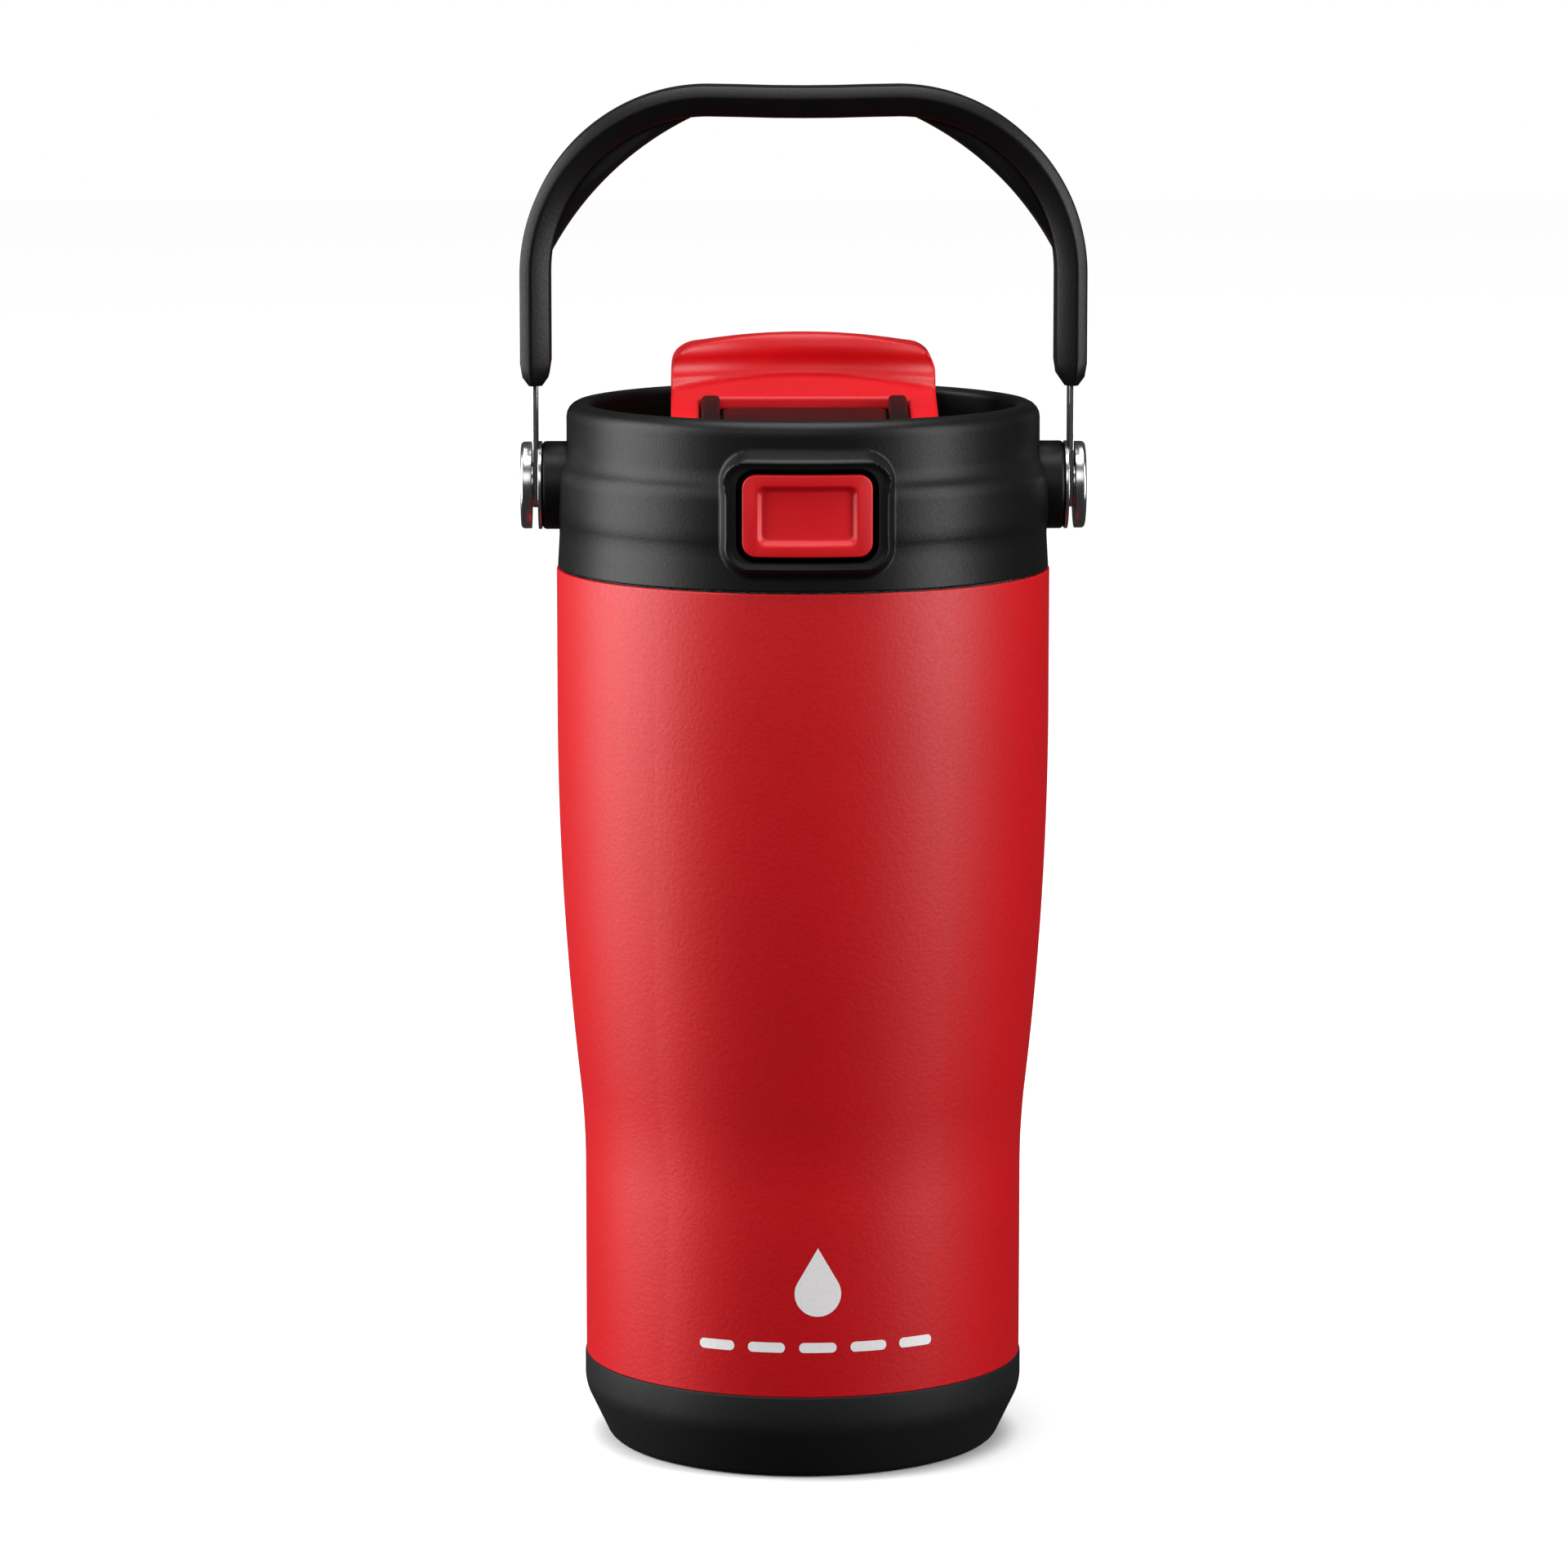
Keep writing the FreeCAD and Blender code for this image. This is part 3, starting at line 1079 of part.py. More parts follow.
node("friction_washers", washer("FrictionWashers", "D.ear_r", EAR, "D.washer_thick"))
node("spacer_washers", washer("SpacerWashers", "D.disc_r", DISC_IN, "D.disc_thick"))

HEAD_OUT = f"({HEAD_IN} + D.head_thick)"
screw = turned("ScrewRight", [
    (f"{EAR} - D.shank_long", "0"),
    (f"{EAR} - D.shank_long", "D.shank_r"),
    (EAR, "D.shank_r"),
    (EAR, "D.shoulder_r"),
    (HEAD_IN, "D.shoulder_r"),
    (HEAD_IN, "D.head_r"),
    (f"{HEAD_OUT} - D.head_round", "D.head_r", "-(D.head_round)"),
    (HEAD_OUT, "D.head_r - D.head_round"),
    (HEAD_OUT, "D.socket_r"),
    (f"{HEAD_OUT} - D.socket_deep", "D.socket_r"),
    (f"{HEAD_OUT} - D.socket_deep", "0"),
], about="H_Axis", up=PIVOT)
node("pivot_screws", pair("PivotScrews", screw))

# ---------------------------------------------------------------- handle

GRIP_LOW = f"({PIVOT} + D.grip_end)"
LINK_TOP = f"({GRIP_LOW} + D.link_in)"
NOTCH_LOW = f"({LINK_TOP} - D.link_half * 2)"
NOTCH_TOP = f"({LINK_TOP} - D.link_half)"
KEYED = "(D.link_half - D.link_notch)"
link = prism("LinkRight", "YZ_Plane", [
    ("-D.link_half", PIVOT, "D.link_half"),
    ("0", f"{PIVOT} - D.link_half", "D.link_half"),
    ("D.link_half", PIVOT),
    ("D.link_half", NOTCH_LOW),
    (KEYED, NOTCH_LOW),
    (KEYED, NOTCH_TOP),
    ("D.link_half", NOTCH_TOP),
    ("D.link_half", LINK_TOP),
    ("-D.link_half", LINK_TOP),
    ("-D.link_half", NOTCH_TOP),
    (f"-({KEYED})", NOTCH_TOP),
    (f"-({KEYED})", NOTCH_LOW),
    ("-D.link_half", NOTCH_LOW),
], LINK_IN, "D.link_thick", holes=[("0", PIVOT, "D.shoulder_r + D.run_play")])
link_left = mirrored("LinkLeft", link)
node("handle_link_right", link)
node("handle_link_left", link_left)

LEG_IN = "(D.body_r + D.leg_gap)"
LEG = f"({LEG_IN} + D.leg_thick / 2)"
LEG_OUT = f"({LEG_IN} + D.leg_thick)"
BEND = "(D.bend_r - D.leg_thick / 2)"
BEND_X = f"({LEG_OUT} - D.bend_r)"
BEND_Z = f"({PIVOT} + D.bend_up)"
TAPER_TOP = f"({GRIP_LOW} + D.grip_taper)"

grip_bar = doc.addObject("PartDesign::Body", "GripBar")
grip_line = sketch_on(grip_bar, "XZ_Plane", "GripLine")
draw(grip_line, [
    (LEG, TAPER_TOP),
    (LEG, BEND_Z, BEND),
    (BEND_X, f"{BEND_Z} + {BEND}"),
    (f"-({BEND_X})", f"{BEND_Z} + {BEND}", BEND),
    (f"-({LEG})", BEND_Z),
    (f"-({LEG})", TAPER_TOP),
], closed=False)
grip_section = sketch_on(grip_bar, "XY_Plane", "GripSection", offset=TAPER_TOP)
draw(grip_section, [
    (LEG_IN, "-D.grip_inner"),
    (f"{LEG} + D.ridge_at", "-D.grip_ridge"),
    (LEG_OUT, "-D.grip_flat"),
    (LEG_OUT, "D.grip_flat"),
    (f"{LEG} + D.ridge_at", "D.grip_ridge"),
    (LEG_IN, "D.grip_inner"),
])
grip_pipe = grip_bar.newObject("PartDesign::AdditivePipe", "GripPipe")
grip_pipe.Profile = grip_section
grip_pipe.Spine = (grip_line, [])

WEB_X = f"({BEND_X} + D.web_top)"
WEB_Z = f"({BEND_Z} + D.web_leg)"
TOP_IN = f"({BEND_Z} + D.bend_r - D.leg_thick)"
web = prism("Web", "XZ_Plane", [
    (LEG_IN, WEB_Z, "D.web_arc"),
    (WEB_X, TOP_IN),
    (WEB_X, f"{TOP_IN} + D.leg_thick / 4"),
    (f"{LEG_IN} + D.leg_thick / 4", f"{TOP_IN} + D.leg_thick / 4"),
    (f"{LEG_IN} + D.leg_thick / 4", WEB_Z),
], "-D.web_half", "D.web_half * 2")
bend_disc = cylinder("BendDisc", f"{BEND} + D.ridge_at", "D.web_half * 2", x=BEND_X, y="D.web_half",
                     z=BEND_Z,
                     along=(FreeCAD.Vector(1, 0, 0), 90))
web_trimmed = common("WebTrimmed", web, bend_disc)

tip_form = prism("TipForm", "XZ_Plane", [
    (LEG_IN, f"{TAPER_TOP} + D.slip"),
    (LEG_IN, TAPER_TOP),
    (f"{LEG} - D.tip_half", GRIP_LOW),
    (f"{LEG} + D.tip_half", GRIP_LOW),
    (LEG_OUT, TAPER_TOP),
    (LEG_OUT, f"{TAPER_TOP} + D.slip"),
], "-D.grip_inner", "D.grip_inner * 2")
LINK_MIDDLE = f"({LINK_IN} / 2 + {LINK_OUT} / 2)"
tip_slot = box("TipSlot", (f"{LINK_MIDDLE} - D.tip_slot_half", f"{LINK_MIDDLE} + D.tip_slot_half"),
               ("-D.grip_ridge", "D.grip_ridge"), (f"{GRIP_LOW} - D.slip", f"{GRIP_LOW} + D.tip_slot"))
tip_slot_left = mirrored("TipSlotLeft", tip_slot)
grip_solid = fuse("GripSolid", grip_bar, web_trimmed, mirrored("WebLeft", web_trimmed), tip_form,
                  mirrored("TipLeft", tip_form))
node("handle_grip", cut("HandleGrip", grip_solid, tip_slot, tip_slot_left, link, link_left))

# ---------------------------------------------------------------- checks and files

doc.recompute()
for thing in doc.Objects:
    if "Invalid" in thing.State or "Error" in thing.State:
        raise SystemExit(f"{thing.Label} failed to recompute: {thing.State}")
for name, thing in NODES.items():
    if thing.Shape.isNull() or not thing.Shape.isValid() or not thing.Shape.Solids:
        raise SystemExit(f"{name} has no valid solid")

os.makedirs("parts", exist_ok=True)
for name, thing in NODES.items():
    thing.Shape.exportStep(f"parts/{name}.step")
    print(f"{name}: {len(thing.Shape.Solids)} solid, {thing.Shape.Volume:.0f} mm3")
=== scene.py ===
"""Insulated travel mug: steel body, rubber boot, screw lid, button, flap and swing handle.

The lengths in the helpers are millimetres; the mug stands on z = 0 with its button towards -Y.
"""
import bmesh
import bpy
import math
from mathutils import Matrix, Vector


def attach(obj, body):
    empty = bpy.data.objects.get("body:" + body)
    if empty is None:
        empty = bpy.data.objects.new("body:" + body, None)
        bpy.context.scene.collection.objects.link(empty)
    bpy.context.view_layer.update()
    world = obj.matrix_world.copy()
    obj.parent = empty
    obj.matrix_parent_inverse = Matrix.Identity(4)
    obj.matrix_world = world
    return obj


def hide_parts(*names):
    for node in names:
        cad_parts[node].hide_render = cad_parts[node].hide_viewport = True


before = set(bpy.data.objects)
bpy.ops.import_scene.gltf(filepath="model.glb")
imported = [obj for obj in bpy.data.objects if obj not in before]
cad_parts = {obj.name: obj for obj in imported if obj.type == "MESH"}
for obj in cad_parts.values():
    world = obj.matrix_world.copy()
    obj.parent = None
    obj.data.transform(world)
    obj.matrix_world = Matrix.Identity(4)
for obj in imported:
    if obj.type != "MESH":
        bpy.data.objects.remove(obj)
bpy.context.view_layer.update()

# ---- Steel body -----------------------------------------------------------------------------
# The outer wall of the vacuum flask: 0.6 mm stainless steel, spun and drawn in below the hand,
# sprayed with red powder coat and baked, which leaves a satin skin with a fine orange-peel grain.


def bare():
    """Leaves edit mode and clears the selection."""
    if bpy.context.mode != "OBJECT":
        bpy.ops.object.mode_set(mode="OBJECT")
    bpy.ops.object.select_all(action="DESELECT")


def edit(piece):
    """Goes into edit mode on one piece with all of it selected."""
    bare()
    piece.select_set(True)
    bpy.context.view_layer.objects.active = piece
    bpy.ops.object.mode_set(mode="EDIT")
    bpy.ops.mesh.select_mode(type="VERT")
    bpy.ops.mesh.select_all(action="SELECT")


def choose(piece, test, kind="VERT", longer=0):
    """In edit mode, selects the vertices, edges or faces whose place in mm passes a test."""
    bpy.ops.mesh.select_mode(type=kind)
    bpy.ops.mesh.select_all(action="DESELECT")
    shape = bmesh.from_edit_mesh(piece.data)
    for part in {"VERT": shape.verts, "EDGE": shape.edges, "FACE": shape.faces}[kind]:
        corners = [part] if kind == "VERT" else part.verts
        middle = sum((v.co for v in corners), Vector()) / len(corners) * 1000
        if test(middle) and (kind != "EDGE" or part.calc_length() * 1000 > longer):
            part.select_set(True)
    bmesh.update_edit_mesh(piece.data)


def outline(name, corners, across=(1, 0, 0), up=(0, 0, 1), start=(0, 0, 0), segments=5):
    """A flat face through corners (across, up[, rounding]); it stays in edit mode."""
    across, up, start = Vector(across), Vector(up), Vector(start)
    places = [(start + across * c[0] + up * c[1]) / 1000 for c in corners]
    bare()
    bpy.ops.mesh.primitive_plane_add(size=0.001)
    piece = bpy.context.object
    piece.name = piece.data.name = name
    edit(piece)
    bpy.ops.mesh.merge(type="CENTER")
    bpy.ops.transform.translate(value=places[0])
    for before, after in zip(places, places[1:]):
        bpy.ops.mesh.extrude_vertices_move(TRANSFORM_OT_translate={"value": after - before})
    bpy.ops.mesh.select_all(action="SELECT")
    bpy.ops.mesh.edge_face_add()
    for corner, place in zip(corners, places):
        if len(corner) == 3:
            choose(piece, lambda at: (at / 1000 - place).length < 1e-6)
            bpy.ops.mesh.bevel(affect="VERTICES", offset=corner[2] / 1000, segments=segments)
    bpy.ops.mesh.select_all(action="SELECT")
    return piece


def spun(piece, turns=((360, 180),), axis=(0, 0, 1), centre=(0, 0, 0)):
    """Spins an outline into a closed turned shape; each turn is (degrees, steps)."""
    bpy.ops.mesh.delete(type="ONLY_FACE")
    bpy.ops.mesh.select_all(action="SELECT")
    for degrees, steps in turns:
        bpy.ops.mesh.spin(steps=steps, angle=math.radians(degrees), center=Vector(centre) / 1000, axis=axis)
    return closed(piece)


def closed(piece):
    """Merges doubles and turns the faces outwards."""
    bpy.ops.mesh.select_all(action="SELECT")
    bpy.ops.mesh.remove_doubles(threshold=2e-6)
    bpy.ops.mesh.dissolve_degenerate(threshold=2e-6)
    bpy.ops.mesh.select_all(action="SELECT")
    bpy.ops.mesh.delete_loose(use_verts=True, use_edges=True, use_faces=False)
    bpy.ops.mesh.select_all(action="SELECT")
    bpy.ops.mesh.normals_make_consistent(inside=False)
    bare()
    return piece


def pushed(piece, along):
    """Extrudes an outline by a length along a direction, in mm, and closes it."""
    bpy.ops.mesh.extrude_region_move(TRANSFORM_OT_translate={"value": Vector(along) / 1000})
    return closed(piece)


def applied(piece, kind, **settings):
    """Adds a modifier with settings and applies it."""
    bare()
    piece.select_set(True)
    bpy.context.view_layer.objects.active = piece
    modifier = piece.modifiers.new(kind.title(), kind)
    for name, value in settings.items():
        setattr(modifier, name, value)
    bpy.ops.object.modifier_apply(modifier=modifier.name)
    return piece


def softened(piece, width, segments=3, angle=30):
    """Rounds every edge sharper than an angle."""
    return applied(piece, "BEVEL", width=width / 1000, segments=segments, limit_method="ANGLE",
                   angle_limit=math.radians(angle), use_clamp_overlap=True)


def smooth(piece, angle=40):
    """Shades smooth, but for edges sharper than an angle."""
    bare()
    piece.select_set(True)
    bpy.context.view_layer.objects.active = piece
    bpy.ops.object.shade_smooth_by_angle(angle=math.radians(angle))
    return piece


def joined(first, *others):
    """Joins pieces into the first one."""
    bare()
    for piece in (first, *others):
        piece.select_set(True)
    bpy.context.view_layer.objects.active = first
    bpy.ops.object.join()
    bare()
    return first


def linear(code):
    """An sRGB hex colour as the linear one that shaders take."""
    parts = [int(code[i:i + 2], 16) / 255 for i in (1, 3, 5)]
    return [p / 12.92 if p <= 0.04045 else ((p + 0.055) / 1.055) ** 2.4 for p in parts] + [1.0]


def wire(tree, kind, settings, **links):
    """Adds a shader node with its settings, and links its sockets to (node, output) pairs."""
    made = tree.nodes.new(kind)
    for name, value in settings.items():
        if name in made.inputs:
            made.inputs[name].default_value = value
        else:
            setattr(made, name, value)
    for name, (source, output) in links.items():
        tree.links.new(source.outputs[output], made.inputs[name.replace("_", " ")])
    return made


def finish(name, **sockets):
    """A new material: its tree, its surface shader with fixed sockets set, and object coordinates."""
    material = bpy.data.materials.new(name)
    material.use_nodes = True
    tree = material.node_tree
    shader = tree.nodes["Principled BSDF"]
    for socket, value in sockets.items():
        shader.inputs[socket.replace("_", " ")].default_value = value
    return material, tree, shader, wire(tree, "ShaderNodeTexCoord", {})


def dressed(piece, material):
    """Gives a piece one material."""
    piece.data.materials.clear()
    piece.data.materials.append(material)
    return piece


# Powder coat: polyester powder baked on steel. Its grains melt into a 0.7 mm orange peel that
# breaks up the highlights, with finer grain on top and a faint unevenness of colour.
powder_coat, tree, shader, place = finish("baked_red_powder_coat", Roughness=0.5, IOR=1.5,
                                          Specular_IOR_Level=0.42)
cloud = wire(tree, "ShaderNodeTexNoise", {"Scale": 60.0, "Detail": 2.0}, Vector=(place, "Object"))
tint = wire(tree, "ShaderNodeValToRGB", {}, Fac=(cloud, "Fac"))
tint.color_ramp.elements[0].color = linear("#bb000c")
tint.color_ramp.elements[1].color = linear("#c40210")
tree.links.new(tint.outputs["Color"], shader.inputs["Base Color"])
peel = wire(tree, "ShaderNodeTexNoise", {"Scale": 1400.0, "Detail": 2.0, "Roughness": 0.45},
            Vector=(place, "Object"))
grain = wire(tree, "ShaderNodeTexNoise", {"Scale": 3200.0, "Detail": 1.0}, Vector=(place, "Object"))
coarse = wire(tree, "ShaderNodeBump", {"Strength": 0.22, "Distance": 0.0002}, Height=(peel, "Fac"))
fine = wire(tree, "ShaderNodeBump", {"Strength": 0.12, "Distance": 0.0001}, Height=(grain, "Fac"),
            Normal=(coarse, "Normal"))
tree.links.new(fine.outputs["Normal"], shader.inputs["Normal"])
gloss = wire(tree, "ShaderNodeMapRange", {"To Min": 0.42, "To Max": 0.56}, Value=(peel, "Fac"))
tree.links.new(gloss.outputs["Result"], shader.inputs["Roughness"])

BODY_R, FOOT_R, BODY_TOP, FLANK_TOP = 44.0, 39.3, 158.4, 133.0
UPPER_ARC, LOWER_ARC, BOOT_TOP = 600.0, 135.0, 15.6
SHEET, SLEEVE_R, SLEEVE_IN, SLEEVE_LOW = 0.6, 37.9, 37.4, 8.0
spread = UPPER_ARC + LOWER_ARC
across = spread - (BODY_R - FOOT_R)
drop = math.sqrt(spread ** 2 - across ** 2)
tilt = math.asin(drop / spread)


def arc(middle, radius, start, stop, steps):
    """Points (across, up) on an arc, angles in radians."""
    angles = [start + (stop - start) * i / steps for i in range(steps + 1)]
    return [(middle[0] + radius * math.cos(a), middle[1] + radius * math.sin(a)) for a in angles]


flank = arc((FOOT_R + LOWER_ARC, FLANK_TOP - drop), LOWER_ARC, math.pi, math.pi - tilt, 14)
flank += arc((BODY_R - UPPER_ARC, FLANK_TOP), UPPER_ARC, -tilt, 0, 30)[1:]
inside = [(r - SHEET, z) for r, z in flank]
body = outline("body_shell", [
    (SLEEVE_IN, SLEEVE_LOW), (SLEEVE_R, SLEEVE_LOW), (SLEEVE_R, BOOT_TOP), (FOOT_R, BOOT_TOP, 0.2), *flank,
    (BODY_R, BODY_TOP, 0.25), (BODY_R - SHEET, BODY_TOP), *inside[::-1], (SLEEVE_IN, BOOT_TOP + SHEET)])
spun(body, ((360, 256),))
smooth(body)
dressed(body, powder_coat)
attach(body, "mug")
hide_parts("outer_shell")

# ---- Rubber boot ----------------------------------------------------------------------------
# A silicone boot pulled over the foot of the body. Moulded with a spark-eroded tool, so it is
# dead matt and charcoal black, with a soft break where the straight side turns into the cone.
silicone_black, tree, shader, place = finish("moulded_black_silicone", IOR=1.41, Specular_IOR_Level=0.3)
speck = wire(tree, "ShaderNodeTexNoise", {"Scale": 1800.0, "Detail": 2.0}, Vector=(place, "Object"))
tint = wire(tree, "ShaderNodeValToRGB", {}, Fac=(speck, "Fac"))
tint.color_ramp.elements[0].color = linear("#101112")
tint.color_ramp.elements[1].color = linear("#161718")
tree.links.new(tint.outputs["Color"], shader.inputs["Base Color"])
gloss = wire(tree, "ShaderNodeMapRange", {"To Min": 0.55, "To Max": 0.68}, Value=(speck, "Fac"))
tree.links.new(gloss.outputs["Result"], shader.inputs["Roughness"])
dimple = wire(tree, "ShaderNodeBump", {"Strength": 0.2, "Distance": 0.0001}, Height=(speck, "Fac"))
tree.links.new(dimple.outputs["Normal"], shader.inputs["Normal"])

BOOT_R, BOOT_IN = FOOT_R + 0.2, 38.0
boot = outline("rubber_boot", [
    (0, 2.0), (0, 0), (24.0, 0, 0.2), (24.0, 0.8, 0.2), (28.0, 0.8, 0.2), (28.0, 0, 0.2), (34.8, 0, 1.4),
    (BOOT_R, 9.8, 1.6), (BOOT_R, BOOT_TOP, 0.3), (BOOT_IN, BOOT_TOP), (BOOT_IN, 10.5), (34.3, 2.0)],
               segments=4)
spun(boot, ((360, 256),))
smooth(boot, 50)
dressed(boot, silicone_black)
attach(boot, "mug")
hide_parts("base_boot")

# ---- Printed mark ---------------------------------------------------------------------------
# One pass of white ink, pad-printed low on the front: a plain drop over a row of even dashes.
# The ink lies 0.05 mm proud of the powder coat, matt, and follows its orange peel.
pad_print, tree, shader, place = finish("pad_printed_white_ink", Roughness=0.55, IOR=1.5)
speck = wire(tree, "ShaderNodeTexNoise", {"Scale": 1400.0, "Detail": 2.0}, Vector=(place, "Object"))
tint = wire(tree, "ShaderNodeValToRGB", {}, Fac=(speck, "Fac"))
tint.color_ramp.elements[0].color = linear("#e2dfdf")
tint.color_ramp.elements[1].color = linear("#f2f0f0")
tree.links.new(tint.outputs["Color"], shader.inputs["Base Color"])
dimple = wire(tree, "ShaderNodeBump", {"Strength": 0.15, "Distance": 0.0001}, Height=(speck, "Fac"))
tree.links.new(dimple.outputs["Normal"], shader.inputs["Normal"])

MARK_X, DROP_Z, DASHES_Z, INK = 2.0, 34.3, 24.6, FOOT_R + 0.05


def sliced(piece, reach, step):
    """Cuts a flat piece upright every step, so that it can follow a round wall."""
    edit(piece)
    for i in range(1, int(2 * reach / step)):
        bpy.ops.mesh.select_all(action="SELECT")
        bpy.ops.mesh.bisect(plane_co=((-reach + i * step) / 1000, 0, 0), plane_no=(1, 0, 0))
    bare()
    return piece


drop_top, drop_r = 8.2, 4.1
lean = math.asin(drop_r / drop_top)
marks = [outline("printed_mark", [(0, drop_top), *arc((0, 0), drop_r, lean, -math.pi - lean, 36)],
                 start=(MARK_X, 0, DROP_Z))]
bare()
DASHES, DASH_LONG, DASH_TALL, DASH_ROUND, PITCH = 5, 6.6, 1.8, 0.85, 9.1
first = MARK_X - ((DASHES - 1) * PITCH + DASH_LONG) / 2
for step in range(DASHES):
    left = first + step * PITCH
    right = left + DASH_LONG
    marks.append(outline("dash", [(left, 0, DASH_ROUND), (right, 0, DASH_ROUND),
                                  (right, DASH_TALL, DASH_ROUND), (left, DASH_TALL, DASH_ROUND)],
                         start=(0, 0, DASHES_Z - DASH_TALL / 2), segments=6))
    bare()
mark = sliced(joined(*marks), 24, 0.6)
for vertex in mark.data.vertices:
    turn = vertex.co.x * 1000 / FOOT_R
    vertex.co.x, vertex.co.y = INK * math.sin(turn) / 1000, -INK * math.cos(turn) / 1000
smooth(mark)
dressed(mark, pad_print)
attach(mark, "mug")

# ---- Lid shell ------------------------------------------------------------------------------
# One polypropylene moulding: skirt, waist, band, ring and rim, with the button's frame drawn out
# of the front, an ear boss at each side, and inside it the deck, the latch housing and two lugs.
# The tool is spark-eroded, so the plastic is satin black with a fine pebble, never glossy.


def moulded_plastic(name, dark, light, low, high, pebble, shine=0.5):
    """Satin plastic from a spark-eroded mould: a 0.5 mm pebble and a slight mottle of colour.

    low and high are its roughness, and shine its specular level, which is matched to the object.
    """
    made, leaves, surface, at = finish(name, IOR=1.49, Specular_IOR_Level=shine)
    grit = wire(leaves, "ShaderNodeTexNoise", {"Scale": 2000.0, "Detail": 2.0}, Vector=(at, "Object"))
    mottle = wire(leaves, "ShaderNodeTexNoise", {"Scale": 220.0, "Detail": 3.0}, Vector=(at, "Object"))
    shade = wire(leaves, "ShaderNodeValToRGB", {}, Fac=(mottle, "Fac"))
    shade.color_ramp.elements[0].color = linear(dark)
    shade.color_ramp.elements[1].color = linear(light)
    leaves.links.new(shade.outputs["Color"], surface.inputs["Base Color"])
    sheen = wire(leaves, "ShaderNodeMapRange", {"To Min": low, "To Max": high}, Value=(grit, "Fac"))
    leaves.links.new(sheen.outputs["Result"], surface.inputs["Roughness"])
    pits = wire(leaves, "ShaderNodeBump", {"Strength": pebble, "Distance": 0.0001}, Height=(grit, "Fac"))
    leaves.links.new(pits.outputs["Normal"], surface.inputs["Normal"])
    return made


satin_black = moulded_plastic("spark_eroded_black_polypropylene", "#09090a", "#0e0e0f", 0.36, 0.48, 0.25,
                              shine=0.22)

LID, DECK, RING_R, RECESS_R, RIM = 158.7, 171.5, 42.15, 37.9, 188.0
lid = outline("lid_moulding", [
    (42.2, LID, 0.2), (43.8, LID, 0.3), (43.4, LID + 6.8, 1.4), (43.95, LID + 9.4, 1.2),
    (43.95, LID + 16.8, 1.2), (RING_R, LID + 19.6, 1.4), (RING_R, RIM, 2.6), (RECESS_R, RIM, 1.4),
    (37.5, DECK, 1.0), (0, DECK), (0, DECK - 2), (34.9, DECK - 2), (34.9, LID + 5.3), (36.8, LID + 5.3),
    (36.8, LID + 9.5), (39.9, LID + 9.5), (39.9, LID + 17.3), (42.2, LID + 17.3)], segments=5)
bpy.ops.mesh.delete(type="ONLY_FACE")
for halving in range(5):
    choose(lid, lambda at: at.x > 42.0, "EDGE", longer=0.45)
    bpy.ops.mesh.subdivide(number_cuts=1)
bpy.ops.mesh.select_mode(type="VERT")
FRAME_TURN = 24
spun(lid, ((270 - FRAME_TURN, 164), (2 * FRAME_TURN, 128), (90 - FRAME_TURN, 44)), axis=(0, 0, -1))


def eased(value, low, high):
    """0 below low, 1 above high and a soft step between them."""
    part = min(max((value - low) / (high - low), 0.0), 1.0)
    return part * part * (3 - 2 * part)


# The frame round the button stands 1.5 mm out of the band, with fillets where they meet, a round
# bead along its edge and a shallow trough between the bead and the window.
FRAME_X, FRAME_Z, FRAME_CORNER, FRAME_R = 14.3, 10.2, 4.8, 45.5
BUTTON_Z = LID + 13.3
WALL_IN = 41.9
outer_wall = [v for v in lid.data.vertices if v.co.xy.length > WALL_IN / 1000 and v.normal.xy.dot(v.co.xy) > 0
              and LID + 0.5 < v.co.z * 1000 < RIM - 2.4]
for vertex in outer_wall:
    at = vertex.co * 1000
    reach = math.hypot(at.x, at.y)
    turn = math.atan2(at.x, -at.y)
    if abs(turn) > math.radians(FRAME_TURN):
        continue
    side = abs(reach * math.sin(turn)) - FRAME_X + FRAME_CORNER
    rise = abs(at.z - BUTTON_Z) - FRAME_Z + FRAME_CORNER
    outside = math.hypot(max(side, 0), max(rise, 0)) + min(max(side, rise), 0) - FRAME_CORNER
    frame_r = FRAME_R + 0.35 * math.exp(-((outside + 1.0) / 0.55) ** 2)
    reach += (frame_r - reach) * eased(-outside, -0.9, 0.9)
    vertex.co.x, vertex.co.y = reach * math.sin(turn) / 1000, -reach * math.cos(turn) / 1000


def carved(piece, cutter, operation="DIFFERENCE"):
    """Cuts, joins or crosses a piece with another, which is used up."""
    applied(piece, "BOOLEAN", object=cutter, operation=operation, solver="EXACT")
    bpy.data.objects.remove(cutter)
    return piece


def rounded(half_x, half_z, corner, middle_z):
    """Corners of an upright rounded rectangle."""
    return [(-half_x, middle_z - half_z, corner), (half_x, middle_z - half_z, corner),
            (half_x, middle_z + half_z, corner), (-half_x, middle_z + half_z, corner)]


WINDOW_X, WINDOW_Z, BUTTON_X, BUTTON_RISE = 12.3, 8.15, 11.25, 7.1
window = pushed(outline("window", rounded(WINDOW_X, WINDOW_Z, 3.4, BUTTON_Z), start=(0, -39.9, 0),
                        segments=8), (0, -10, 0))
carved(lid, window)
STEM_X, STEM_LOW, STEM_HIGH, STEM_ROOM = 5.5, DECK + 1.4, DECK + 6.4, 0.4


def upright(name, half_x, low, high, y):
    """An upright oblong face across the front, centred on the mug's axis."""
    return outline(name, [(-half_x, low), (half_x, low), (half_x, high), (-half_x, high)], start=(0, y, 0))


